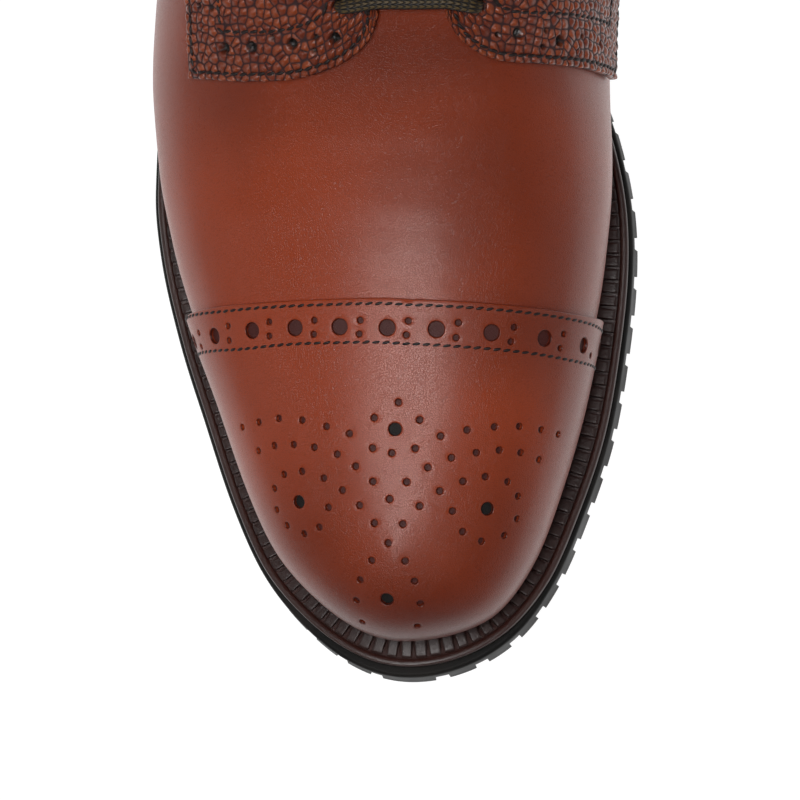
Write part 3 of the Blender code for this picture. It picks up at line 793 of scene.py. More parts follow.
def pebble_fields(tree, vector):
    """Distance to the crevice, distance to the pebble's middle, and a value for each pebble."""
    inputs = {"Vector": vector, "Scale": 1.0, "Randomness": PEBBLE_RANDOM}
    edge = put(
        tree, "ShaderNodeTexVoronoi", inputs,
        voronoi_dimensions="2D", feature="DISTANCE_TO_EDGE",
    )
    cell = put(tree, "ShaderNodeTexVoronoi", inputs, voronoi_dimensions="2D", feature="F1")
    return edge.outputs["Distance"], cell.outputs["Distance"], cell.outputs["Color"]


def pebble_height(tree, vector):
    """Domes on a Voronoi pattern, 0 in the crevice and 1 on top."""
    edge, middle, _ = pebble_fields(tree, vector)
    inside = ramp(tree, edge, -0.04, 0.30)
    round_off = ramp(tree, middle, 0.78, 0.05)
    return calc(tree, "MULTIPLY", calc(tree, "POWER", inside, 0.7), round_off)


def make_grained():
    material, tree, shader = new_material("pebble_grain")
    where = put(tree, "ShaderNodeUVMap", uv_map="grain_map").outputs[0]
    edge, middle, tone = pebble_fields(tree, where)
    red = put(tree, "ShaderNodeSeparateColor", {0: tone}).outputs[0]
    lit = mixed(tree, red, colour(0.42, 0.075, 0.014), colour(0.23, 0.032, 0.008))
    # The pebbles darken with the patch mask too: burnish and painted shade together
    burnt_and_shaded = calc(tree, "MULTIPLY", attribute(tree, "burnish_and_shade"), 0.5)
    lit = mixed(tree, burnt_and_shaded, lit, colour(0.08, 0.013, 0.005))
    rim = calc(tree, "MULTIPLY", ramp(tree, edge, 0.0, PEBBLE_EDGE), ramp(tree, middle, 0.80, 0.50))
    base = mixed(tree, rim, colour(0.035, 0.008, 0.009), lit)
    # Inside the punched holes the hide is painted near black, and partly so on their rims: painted
    # shade
    holes = attribute(tree, "hole")
    tree.links.new(mixed(tree, holes, base, colour(0.006, 0.004, 0.003)), shader["Base Color"])
    tree.links.new(ramp(tree, rim, 0.0, 1.0, 0.62, 0.3), shader["Roughness"])
    tree.links.new(ramp(tree, rim, 0.0, 1.0, 0.0, 0.5), shader["Coat Weight"])
    shader["Coat Roughness"].default_value = 0.2
    fine = use(tree, FINE_GRAIN, **{"Vector": object_place(tree), "Pore Size": 0.00035})
    height = calc(tree, "ADD", pebble_height(tree, where),
                  calc(tree, "MULTIPLY", fine["Height"], 0.06))
    bump(tree, shader, height, 0.9, 0.0004)
    return material


GRAINED = make_grained()


# %% Rubber, heel, thread and lace finishes
def make_rubber(name, base, roughness):
    material, tree, shader = new_material(name)
    where = object_place(tree)
    speckle = put(
        tree, "ShaderNodeTexNoise", {"Vector": where, "Scale": 900.0, "Detail": 4.0}
    ).outputs["Fac"]
    scuff = put(
        tree, "ShaderNodeTexNoise", {"Vector": where, "Scale": 60.0, "Detail": 5.0}
    ).outputs["Fac"]
    tint = mixed(tree, ramp(tree, scuff, 0.4, 0.7), base, colour(0.022, 0.019, 0.017))
    tree.links.new(tint, shader["Base Color"])
    tree.links.new(ramp(tree, scuff, 0.3, 0.7, roughness - 0.06, roughness + 0.1), shader["Roughness"])
    shader["Specular IOR Level"].default_value = 0.14
    bump(tree, shader, speckle, 0.5, 0.0001)
    return material


def make_heel_stack():
    """Thin layers of leather pressed together: faint level lines and dark wax."""
    material, tree, shader = new_material("heel_stack")
    where = object_place(tree)
    height = put(tree, "ShaderNodeSeparateXYZ", {0: where}).outputs[2]
    lines = put(
        tree, "ShaderNodeTexNoise",
        {"Vector": put(tree, "ShaderNodeCombineXYZ", {2: height}).outputs[0], "Scale": 900.0},
    ).outputs["Fac"]
    dye_and_shade = use(
        tree, PATINA_AND_SHADE,
        **{"Vector": where, "Light": colour(0.06, 0.026, 0.017),
           "Dark": colour(0.02, 0.01, 0.008), "Mask": lines, "Cloud Depth": 0.8},
    )["Color"]
    tree.links.new(dye_and_shade, shader["Base Color"])
    shader["Roughness"].default_value = 0.36
    shader["Coat Weight"].default_value = 0.3
    bump(tree, shader, lines, 0.4, 0.00012)
    return material


def make_thread():
    """Waxed thread, nearly black, with the lay of its plies."""
    material, tree, shader = new_material("waxed_thread")
    where = object_place(tree)
    plies = put(
        tree, "ShaderNodeTexNoise", {"Vector": where, "Scale": 2600.0, "Detail": 3.0}
    ).outputs["Fac"]
    tint = mixed(tree, plies, colour(0.006, 0.003, 0.003), colour(0.024, 0.009, 0.007))
    tree.links.new(tint, shader["Base Color"])
    shader["Roughness"].default_value = 0.55
    bump(tree, shader, plies, 0.5, 0.00008)
    return material


def make_lace():
    """Flat waxed braid: dark edges, and an olive fleck down the middle."""
    material, tree, shader = new_material("waxed_lace")
    where = put(tree, "ShaderNodeUVMap", uv_map="braid_map").outputs[0]
    parts = put(tree, "ShaderNodeSeparateXYZ", {0: where}).outputs
    slant = calc(tree, "ABSOLUTE", calc(tree, "SINE", calc(tree, "MULTIPLY", parts[0], math.tau)))
    rows = calc(tree, "FRACT", calc(tree, "ADD", calc(tree, "MULTIPLY", parts[1], 1.0),
                                    calc(tree, "MULTIPLY", slant, 0.8)))
    strand = ramp(tree, calc(tree, "ABSOLUTE", calc(tree, "SUBTRACT", rows, 0.5)), 0.5, 0.18)
    fleck = calc(tree, "MULTIPLY", strand, ramp(tree, slant, 0.35, 0.9))
    tint = mixed(tree, fleck, colour(0.008, 0.006, 0.005), colour(0.10, 0.062, 0.018))
    tree.links.new(tint, shader["Base Color"])
    shader["Roughness"].default_value = 0.55
    bump(tree, shader, strand, 0.8, 0.0002)
    return material


SOLE_RUBBER = make_rubber("sole_rubber", colour(0.011, 0.0105, 0.010), 0.5)
HEEL_STACK = make_heel_stack()
THREAD = make_thread()
LACE = make_lace()

# %% [markdown]
# ## Burnish and painted shade
#
# The colour is lightest in the middle of cap and vamp. It is darker at the tip of the toe,
# where the maker went over it again, darker on the sides of the cap and along the seams, and
# darker behind the facings, where the darkening is painted shade. A few soft patches, listed
# in the shoe's own millimetres, say where.

# %% Burnish and painted shade patches
# Distance from the heel and distance across, both in mm; reach along and across in mm; depth
# of the darkening, burnish at the toe and painted shade behind the facings
BURNISH_AND_SHADE_PATCHES = (
    (312, 8, 24, 60, 1.00),
    (286, 30, 22, 16, 0.45),
    (284, -12, 22, 14, 0.40),
    (262, 50, 40, 12, 0.45),
    (255, -40, 26, 7, 0.25),
    (236, 36, 12, 22, 0.45),
    (222, 40, 26, 16, 0.30),
    (205, 24, 24, 20, 0.45),
    (180, 8, 14, 46, 0.50),
    (186, -30, 14, 20, 0.40),
    (150, 0, 26, 60, 0.55),
    (20, 0, 26, 40, 0.55),
)


# Darkening at points of the shoe from the patches: burnish and painted shade together
def burnish_and_shade_at(points):
    along = (SOLE_LENGTH / 2 - points[..., 1]) / MM
    across = points[..., 0] / MM
    dark = np.zeros(along.shape)
    for middle, beside, reach, spread, depth in BURNISH_AND_SHADE_PATCHES:
        away = ((along - middle) / reach) ** 2 + ((across - beside) / spread) ** 2
        dark = np.maximum(dark, depth * np.exp(-away)) + 0.25 * np.minimum(dark, depth * np.exp(-away))
    return np.clip(dark, 0, 1)


# %% [markdown]
# ## Upper
#
# The vamp and the hidden part under the quarters are one hollow wall of two layers, calf
# outside and lining inside. Both follow the last, open at the collar and at the throat. The
# vamp is new, so its flex creases are only faint troughs across the ball.

# %% Upper and lining
# Distance from the heel, middle across, half length across, half width, depth, all in mm
CREASES = (
    (196, 4, 34, 4.0, 0.16),
    (204, 8, 30, 3.5, 0.13),
    (211, 0, 36, 4.0, 0.15),
    (219, 8, 26, 3.5, 0.10),
)
UPPER_STEP = 1.3 * MM
UPPER_CLIMBS = 60


def crease_depth(points):
    along = (SOLE_LENGTH / 2 - points[..., 1]) / MM
    across = points[..., 0] / MM
    depth = np.zeros(along.shape)
    for middle, beside, reach, width, sink in CREASES:
        bend = middle + 3.0 * ((across - beside) / reach) ** 2
        trough = np.exp(-(((along - bend) / width) ** 2)) * np.exp(-(((across - beside) / reach) ** 4))
        ridge = np.exp(-(((along - bend - 1.8 * width) / width) ** 2))
        depth += sink * (trough - 0.4 * ridge * np.exp(-(((across - beside) / reach) ** 4)))
    return depth * MM


def upper_wall(name, outside, inside, material, lower=0.0):
    """A closed wall on the last from the welt to the collar, open at the throat."""
    throat = float(turn(THROAT_SHARE))
    qs = np.concatenate((even_turns(0, throat, UPPER_STEP), even_turns(throat, 1, UPPER_STEP)[1:]))
    ws = np.concatenate((qs / 2, 1 - qs[-2:0:-1] / 2))
    edge = top_t(ws) - lower * (share_at(around(ws)[0]) < THROAT_SHARE)
    ts = edge[:, None] * np.linspace(0, 1, UPPER_CLIMBS + 1)[None, :]
    layers = []
    for offset in (outside, inside):
        layer = on_last(ws[:, None], ts, offset)
        layer -= crease_depth(layer)[..., None] * out_of_last(ws[:, None], ts)
        layers.append(layer)
    rows, columns = ts.shape
    count = rows * columns
    faces = grid_faces(rows, columns, wrap_rows=True)
    faces += grid_faces(rows, columns, wrap_rows=True, start=count)
    open_row = share_at(around(ws)[0]) < THROAT_SHARE
    for i in range(rows):
        n = (i + 1) % rows
        foot = (i * columns, n * columns)
        faces.append([foot[0], foot[1], foot[1] + count, foot[0] + count])
        if open_row[i] or open_row[n]:
            top = (foot[0] + columns - 1, foot[1] + columns - 1)
            faces.append([top[0], top[1], top[1] + count, top[0] + count])
    thing = piece(name, np.concatenate(layers), faces, material, sharp=50)
    set_attribute(thing, "burnish_and_shade", burnish_and_shade_at(points_of(thing)))
    return thing


done(upper_wall("vamp", 0.0, -LEATHER, CALF), "calf", "upper")
done(upper_wall("lining", -LEATHER - 0.03 * MM, -WALL, LINING, 0.004), "lining")

# %% [markdown]
# ## Toe cap
#
# The cap is a second layer with a straight seam, two rows of stitches, a row of punched holes
# between them and a medallion. The holes are real: their rims are laid into a constrained
# triangulation of the cap, drawn in a flat plan that has no seam of its own, and walls go
# down from the rims. Holes and stitch rows are charted in pixels of the photograph.

# %% Chart of the cap
CAP_OFFSET = GAP + OVERLAY
CAP_SEAM_PIXELS = (
    (186, 317.5), (213, 308.5), (267, 303.2), (328, 300.2), (400, 299.6),
    (463, 302.4), (529, 308.2), (571, 314.6), (604, 325),
)
UPPER_STITCH_PIXELS = (
    (186, 322), (213.6, 312.4), (267, 307.4), (328, 304.6), (400, 304.2),
    (463, 307.2), (529, 313), (571, 319.4), (604, 330.5),
)
LOWER_STITCH_PIXELS = (
    (198, 358), (236.5, 349.6), (290, 344.3), (328, 342.8), (400, 343.3),
    (454.6, 346.3), (521, 352), (571, 360.4), (595.6, 370.4),
)
BAND_HOLES = (
    (194.9, 341), (214.3, 336), (251.8, 330.5), (294.7, 327.8), (339.4, 326.7), (387, 327.6),
    (436.4, 329.3), (491.9, 332.7), (545, 338.4), (584, 345.5), (599, 350.5),
)
BAND_PINHOLES = (
    (198.7, 332.8), (201.3, 346.6), (228, 326), (229, 340.5), (269, 321.8), (269, 336),
    (314, 320.3), (313.4, 334.3), (360, 320.3), (359, 334), (408.2, 321), (406.2, 335),
    (458.3, 322.8), (456, 337.7), (514.3, 327.3), (511, 341.7), (563.7, 334), (560, 348.3),
    (590.6, 355.5),
)
MEDALLION_HOLES = ((394.9, 429.2), (298.7, 501.9), (487.5, 508.8), (386.8, 599.5))
MEDALLION_PINHOLES = (
    (398.2, 402.2), (374, 417.8), (419.6, 419.8), (372.4, 448.1), (415.1, 448.4), (391.6, 453),
    (242.3, 427.2), (258.7, 422.1), (278.6, 418.3), (302, 420.1), (326.3, 426.4), (349.2, 433.6),
    (440.6, 436.1), (467.1, 430), (494.6, 426.9), (519.4, 426.4), (541.3, 429.7), (558.2, 434.3),
    (258.4, 450.7), (274.2, 445.6), (293.4, 444.5), (314, 447.3), (337, 454.2), (355.4, 466.2),
    (372.7, 481.5), (539, 459.6), (520.7, 452.7), (499.5, 450.2), (476.5, 452.7), (451.5, 457.8),
    (427.8, 467.5), (406.6, 482), (389.3, 499), (283.9, 474.4), (301.8, 471.3), (323.5, 478.2),
    (342.1, 490.2), (359.4, 505.3), (374.1, 523.1), (485.5, 476.7), (463, 481.3), (439.8, 491),
    (419.6, 506), (402.7, 524.1), (274.5, 488.4), (276.8, 509.6), (287, 525.4), (304.1, 533.8),
    (319.1, 527.2), (328.1, 507.6), (507.7, 481.8), (517.9, 496.1), (517.1, 518.8), (504.3, 535.6),
    (481.6, 541.2), (462.8, 531.8), (452.6, 511.1), (388, 543.2), (371.4, 560.6), (405.1, 561.2),
    (360, 580), (414.6, 581.4), (356.3, 600.4), (420.4, 603.7), (362.2, 622), (417.3, 626),
)
BAND_HOLE_RADIUS = 1.75 * MM
BAND_PINHOLE_RADIUS = 0.68 * MM
MEDALLION_HOLE_RADIUS = 1.4 * MM
MEDALLION_PINHOLE_RADIUS = 0.72 * MM
HOLE_DEPTH = 1.0 * MM
HOLE_CHART = (
    (BAND_HOLES, BAND_HOLE_RADIUS, 26),
    (BAND_PINHOLES, BAND_PINHOLE_RADIUS, 14),
    (MEDALLION_HOLES, MEDALLION_HOLE_RADIUS, 22),
    (MEDALLION_PINHOLES, MEDALLION_PINHOLE_RADIUS, 14),
)


def row_over_cap(pixels, offset):
    """A line across the cap through charted pixels: q as a function of signed 1 - t."""
    places = from_pixels(pixels, offset)
    q, side = around(places[:, 0])
    beside = side * (1 - places[:, 1])
    order = np.argsort(beside)
    table = [(float(beside[k]), float(q[k])) for k in order]
    return lambda across: smooth(table, 1, across)


seam_q = row_over_cap(CAP_SEAM_PIXELS, CAP_OFFSET)
print("seam share at middle:", round(float(share_at(seam_q(0.0))), 4), "planned", CAP_SHARE)

# %% Cap mesh
CAP_STEP = 0.95 * MM
CAP_CLIMBS = 78
RIM_REACH = 0.3 * MM
CLEAR_OF_RIM = 0.4 * MM
# Reach past a hole's radius within which its wall is painted full dark as painted shade
SHADED_WALL_REACH = 0.06 * MM


def flat_plan(w, t):
    """The cap laid flat: the ridge keeps its plan, and the rest fans out from it."""
    ridge = ridge_plan(w)
    return ridge + (inset(w, margin(w)) - ridge) * (1 - np.asarray(t))[..., None]


def cap_grid(step, climbs):
    """(w, t) rows over the cap, from its foot (row 0) to the ridge, inner side to outer."""
    ts = np.linspace(OVERLAY_FOOT, 1, climbs + 1)
    half = (even_turns(float(turn(CAP_SHARE)), 1, step) - turn(CAP_SHARE)) / (1 - turn(CAP_SHARE))
    shares = np.concatenate((half / 2, 1 - half[-2::-1] / 2))
    medial, lateral = seam_q(1 - ts) / 2, 1 - seam_q(ts - 1) / 2
    w = medial[:, None] + (lateral - medial)[:, None] * shares[None, :]
    return w, np.broadcast_to(ts[:, None], w.shape)


def triangles(flat, loops, rings):
    """Faces inside the first loop and outside each ring, as lists of input points."""
    edges = []
    for loop in loops + rings:
        edges += [(a, b) for a, b in zip(loop, loop[1:] + loop[:1])]
    made = delaunay_2d_cdt([Vector(p) for p in (flat / MM).tolist()], edges, [], 0, 1e-6, True)
    out, _, faces, origin = made[:4]
    ring_of = {}
    for number, ring in enumerate(rings):
        for point in ring:
            ring_of[point] = number
    border = loops[0]
    on_border = set(border)
    outline = flat[border] / MM
    kept = []
    for face in faces:
        named = [origin[k][0] for k in face]
        holes = {ring_of.get(k) for k in named}
        if len(holes) == 1 and None not in holes:
            continue
        if on_border.issuperset(named) and not inside(outline, (flat[named] / MM).mean(axis=0)):
            continue
        kept.append(named)
    return kept


def inside(outline, point):
    a, b = outline, np.roll(outline, -1, axis=0)
    crosses = (a[:, 1] > point[1]) != (b[:, 1] > point[1])
    with np.errstate(divide="ignore", invalid="ignore"):
        x = a[:, 0] + (point[1] - a[:, 1]) * (b[:, 0] - a[:, 0]) / (b[:, 1] - a[:, 1])
    return int((crosses & (point[0] < x)).sum()) % 2 == 1


def border_of(w, t):
    """Index loop round a cap grid whose top row folds on the ridge."""
    rows, columns = w.shape
    index = np.arange(rows * columns).reshape(rows, columns)
    return list(index[0]) + list(index[1:, -1]) + list(index[-2:0:-1, 0])


def hole_frame(w, t, offset):
    middle = on_last(w, t, offset)
    out = out_of_last(w, t)
    first = unit(np.cross(out, (0.0, 1.0, 0.0)))
    return middle, out, first, np.cross(out, first)


def local_steps(w, t, offset):
    """Change of place for small steps of w and t, to turn millimetres into (w, t)."""
    near = 0.0015
    ahead = (on_last(w + near, t, offset) - on_last(w - near, t, offset)) / (2 * near)
    up = (on_last(w, t, offset) - on_last(w, t - near, offset)) / near
    return np.stack((ahead, up), axis=1)


def punched_cap():
    w, t = cap_grid(CAP_STEP, CAP_CLIMBS)
    border = border_of(w, t)
    keep = np.ones(w.shape, bool)
    keep[-1, w.shape[1] // 2 + 1:] = False
    keep = keep.ravel()
    ws, ts = w.ravel(), t.ravel()
    points = on_last(ws, ts, CAP_OFFSET)
    holes = []
    for pixels, radius, sides in HOLE_CHART:
        for place_w, place_t in from_pixels(pixels, CAP_OFFSET):
            holes.append((place_w, place_t, radius, sides))
    on_edge = np.zeros(len(ws), bool)
    on_edge[border] = True
    ring_w, ring_t, ring_points, ring_sizes = [], [], [], []
    for place_w, place_t, radius, sides in holes:
        middle, out, first, second = hole_frame(place_w, place_t, CAP_OFFSET)
        keep &= on_edge | (np.linalg.norm(points - middle, axis=1) > radius + RIM_REACH + CLEAR_OF_RIM)
        steps = local_steps(place_w, place_t, CAP_OFFSET)
        angles = np.arange(sides) * math.tau / sides
        round_way = np.cos(angles)[:, None] * first + np.sin(angles)[:, None] * second
        moves = np.linalg.lstsq(steps, ((radius + RIM_REACH) * round_way).T, rcond=None)[0]
        over = place_t + moves[1]
        rim_w = np.where(over > 1, 1 - (place_w + moves[0]), place_w + moves[0])
        rim_t = np.where(over > 1, 2 - over, over)
        ring_w.append(rim_w)
        ring_t.append(rim_t)
        ring_sizes.append(sides)
        ring_points.append((middle, out, round_way, radius))
    chosen = np.flatnonzero(keep | on_edge)
    renumber = {int(old): new for new, old in enumerate(chosen)}
    top_row = (CAP_CLIMBS * w.shape[1])
    for old in border:
        if int(old) not in renumber:
            renumber[int(old)] = renumber[top_row + w.shape[1] - 1 - (int(old) - top_row)]
    all_w = np.concatenate([ws[chosen]] + ring_w)
    all_t = np.concatenate([ts[chosen]] + ring_t)
    flat = flat_plan(all_w, all_t)
    loop = []
    for old in border:
        new = renumber[int(old)]
        if new not in loop[-1:]:
            loop.append(new)
    rings, start = [], len(chosen)
    for size in ring_sizes:
        rings.append(list(range(start, start + size)))
        start += size
    faces = triangles(flat, [loop], rings)
    cloud = list(on_last(all_w, all_t, CAP_OFFSET))
    for ring, (middle, out, round_way, radius) in zip(rings, ring_points):
        previous = ring
        for reach, depth in ((0.16 * MM, 0.04 * MM), (0.0, 0.17 * MM), (-0.05 * MM, 0.45 * MM),
                             (-0.07 * MM, HOLE_DEPTH)):
            current = list(range(len(cloud), len(cloud) + len(ring)))
            cloud += list(middle + (radius + reach) * round_way - depth * out)
            for k in range(len(ring)):
                n = (k + 1) % len(ring)
                faces.append([previous[k], previous[n], current[n], current[k]])
            previous = current
        faces.append(previous)
    edge_out = edge_direction(all_w[loop], all_t[loop])
    previous = loop
    for reach, offset in ((0.14, CAP_OFFSET - 0.1 * MM), (0.2, CAP_OFFSET - 0.45 * MM), (0.1, GAP)):
        current = list(range(len(cloud), len(cloud) + len(loop)))
        cloud += list(on_last(all_w[loop], all_t[loop], offset) + reach * MM * edge_out)
        for k in range(len(loop)):
            n = (k + 1) % len(loop)
            faces.append([previous[k], previous[n], current[n], current[k]])
        previous = current
    inner_w, inner_t = cap_grid(6 * MM, 12)
    middle_w, middle_t = inner_w[2:-2, 2:-2].ravel(), inner_t[2:-2, 2:-2].ravel()
    back_w = np.concatenate((all_w[loop], middle_w))
    back_t = np.concatenate((all_t[loop], middle_t))
    back = triangles(flat_plan(back_w, back_t), [list(range(len(loop)))], [])
    names = previous + list(range(len(cloud), len(cloud) + len(middle_w)))
    cloud += list(on_last(middle_w, middle_t, GAP))
    faces += [[names[k] for k in face] for face in back]
    thing = piece("punched_cap", np.array(cloud), faces, CALF, sharp=55)
    points = points_of(thing)
    burnish_and_shade = burnish_and_shade_at(points)
    # The points down the wall of each punched hole are painted full dark: painted shade
    for middle, _, _, radius in ring_points:
        burnish_and_shade[np.linalg.norm(points - middle, axis=1) < radius + SHADED_WALL_REACH] = 1.0
    set_attribute(thing, "burnish_and_shade", burnish_and_shade)
    return thing, holes


def edge_direction(w, t):
    """Outward way along the surface at the points of a closed loop."""
    points = on_last(w, t, CAP_OFFSET)
    along = np.roll(points, -1, axis=0) - np.roll(points, 1, axis=0)
    side = np.cross(along, out_of_last(w, t))
    side /= np.maximum(np.linalg.norm(side, axis=1, keepdims=True), 1e-12)
    inward = (points.mean(axis=0) - points) * side
    return np.where(inward.sum(axis=1, keepdims=True) > 0, -side, side)


cap, cap_holes = punched_cap()
done(cap, "calf", "toe_cap")

# %% [markdown]
# ## Grained quarters
#
# The quarters and their eyelet facings are cut from one pebble-grained hide and laid over
# the vamp. A fine grid over each quarter carries a flat map of the hide in millimetres. A
# Geometry Nodes tree raises the pebbles on that map, and the finish reads the same map, so
# dark hollows fall between real domes. Seams press the pebbles flat.

# %% Quarter places
QUARTER_STEP = 0.42 * MM
EDGE_STEPS = (0.0, 0.06, 0.16, 0.32, 0.55)
QUARTER_OFFSET = QUARTER_EASE + OVERLAY
QUARTER_ROUND = 0.6 * MM
EDGE_STITCH = 1.7 * MM
HOLE_ROW = 6.9 * MM
INNER_STITCH = 11.0 * MM
COLLAR_STITCH = 2.2 * MM
BAR_TACK = 6 * MM


def strip_turn(side):
    samples = np.linspace(0, 0.2, 2001)
    across = abs(sole_edge(round_place(samples, side))[:, 1])
    return float(np.interp(BACK_STRIP_WIDTH / 2, across, samples))


def quarter_place(side, stops, rows):
    """(w, t) at stops along the quarter and at rows from its top edge to its border."""
    near, corner, fall, part = QUARTER_FRONT[side]
    start = turn(near - FRONT_BLEND)
    blend = ease((stops - start) / (turn(near) - start))
    v = rows / QUARTER_ROWS
    tip = 1 - np.sqrt(1 - np.maximum(0.0, 1 - v / part) ** 2)
    front = near + (corner - near) * v - fall * tip
    q = stops + (turn(front) - turn(near)) * blend
    w = round_place(q, side)
    share = share_at(q)
    top = np.minimum(top_t(w), throat_t(w))
    border = np.maximum(OVERLAY_FOOT, smooth(QUARTER_BORDER, 1 if side > 0 else 2, share))
    shared = top * (1 - np.minimum(rows, SHARED_ROWS) / CLIMBS)
    rest = np.maximum(0, rows - SHARED_ROWS) / (QUARTER_ROWS - SHARED_ROWS)
    return w, shared + (border - shared) * rest


def marks(first, last, path, step):
    """Even marks from first to last along a path, closer together at both ends."""
    way = lengths(path)
    samples = np.linspace(first, last, len(path))
    ends = np.array(EDGE_STEPS) * MM
    middle = np.linspace(ends[-1], way[-1] - ends[-1], max(2, round(way[-1] / step)))
    return np.interp(np.concatenate((ends[:-1], middle, way[-1] - ends[-2::-1])), way, samples)


def quarter_grid(side, step=QUARTER_STEP):
    back, front = strip_turn(side) + 0.002, float(turn(QUARTER_FRONT[side][0]))
    samples = np.linspace(back, front, 300)
    path = on_last(*quarter_place(side, samples, np.full(300, 4.5)))
    stops = marks(back, front, path, step)
    rows = np.linspace(0, QUARTER_ROWS, 200)
    path = on_last(*quarter_place(side, np.full(200, front - 0.05), rows))
    rows = marks(0, QUARTER_ROWS, path, step)
    return quarter_place(side, stops[:, None], rows[None, :])


def rounded(distance):
    """How far a rounded edge lies under the full thickness, at a distance from the edge."""
    rest = np.clip(QUARTER_ROUND - distance, 0, QUARTER_ROUND)
    return QUARTER_ROUND - np.sqrt(QUARTER_ROUND**2 - rest**2)


# %% [markdown]
# ## Seams of a quarter
#
# A seam runs at a set distance inside an edge. Each edge point is moved inwards along the
# leather and kept only where no other edge is nearer, which trims the corners by itself.

# %% Seam rows
def nearest_tree(points):
    tree = kdtree.KDTree(len(points))
    for k, point in enumerate(points):
        tree.insert(point, k)
    tree.balance()
    return tree


class Field:
    """A fine surface that can say what lies nearest to a point."""

    def __init__(self, points, outs):
        self.points = points.reshape(-1, 3)[::3]
        self.outs = outs.reshape(-1, 3)[::3]
        self.tree = nearest_tree(self.points)

    def settle(self, point):
        _, k, _ = self.tree.find(point)
        out = self.outs[k]
        return point - ((point - self.points[k]) @ out) * out, out


def seam_inside(edge, field, distance, inward_hint):
    """Points and outward ways of a row at a distance inside an edge."""
    tree = nearest_tree(edge)
    edge_outs = np.array([field.settle(point)[1] for point in edge])
    inward = np.cross(np.gradient(edge, axis=0), edge_outs)
    inward /= np.linalg.norm(inward, axis=1, keepdims=True)
    if ((inward_hint - edge) * inward).sum() < 0:
        inward = -inward
    row, outs = [], []
    for point, way in zip(edge, inward):
        spot, out = field.settle(point + distance * way)
        if tree.find(spot)[2] > distance * 0.94:
            row.append(spot)
            outs.append(out)
    return np.array(row), np.array(outs)


def spaced(path, step):
    way = lengths(path)
    at = np.linspace(0, way[-1], max(2, round(way[-1] / step) + 1))
    return np.stack([np.interp(at, way, path[:, axis]) for axis in range(3)], axis=1)


# %% Pebble tree
def make_pebble_tree():
    """Raises domes along the normal, less where the press attribute says so."""
    rows = (
        ("Geometry", "NodeSocketGeometry", None),
        ("Height", FLOAT, 0.0004),
        ("Material", "NodeSocketMaterial", None),
    )
    tree, given, end = new_group(
        "pebbled_hide", "GeometryNodeTree", rows, (("Geometry", "NodeSocketGeometry", None),)
    )

    def named(label, kind):
        return put(
            tree, "GeometryNodeInputNamedAttribute", {"Name": label}, data_type=kind
        ).outputs["Attribute"]

    domes = pebble_height(tree, named("grain_map", "FLOAT_VECTOR"))
    free = calc(tree, "SUBTRACT", 1.0, named("press", "FLOAT"))
    height = calc(tree, "MULTIPLY", calc(tree, "MULTIPLY", domes, free), given["Height"])
    out = put(tree, "GeometryNodeInputNormal").outputs[0]
    lift = put(tree, "ShaderNodeVectorMath", {0: out}, operation="SCALE")
    tree.links.new(height, lift.inputs["Scale"])
    moved = put(
        tree, "GeometryNodeSetPosition", {"Geometry": given["Geometry"], "Offset": lift.outputs[0]}
    ).outputs[0]
    whole = put(tree, "GeometryNodeRealizeInstances", {"Geometry": moved}).outputs[0]
    worn = put(
        tree, "GeometryNodeSetMaterial", {"Geometry": whole, "Material": given["Material"]}
    ).outputs[0]
    tree.links.new(worn, end.inputs["Geometry"])
    return tree


def grown(name, source, tree, **values):
    """The mesh that a tree makes from a source object, as a plain object of its own."""
    modifier = source.modifiers.new("tree", "NODES")
    modifier.node_group = tree
    for item in tree.interface.items_tree:
        if item.in_out == "INPUT" and item.name in values:
            modifier[item.identifier] = values[item.name]
    bpy.context.view_layer.update()
    depsgraph = bpy.context.evaluated_depsgraph_get()
    mesh = bpy.data.meshes.new_from_object(
        source.evaluated_get(depsgraph), preserve_all_data_layers=True, depsgraph=depsgraph
    )
    source.modifiers.remove(modifier)
    bpy.data.objects.remove(source)
    mesh.name = name
    mesh.shade_smooth()
    thing = bpy.data.objects.new(name, mesh)
    bpy.context.collection.objects.link(thing)
    return thing


PEBBLED_HIDE = make_pebble_tree()
PEBBLE_HEIGHT = 0.42 * MM

# %% [markdown]
# ## Stitches
#
# A stitch is a short twist of waxed thread that sinks into the leather at both ends. One
# tree lays them: it spaces points along a seam and puts a flattened bead on each, turned to
# the seam and to the leather, with a small slant and a little unevenness from a fixed seed.

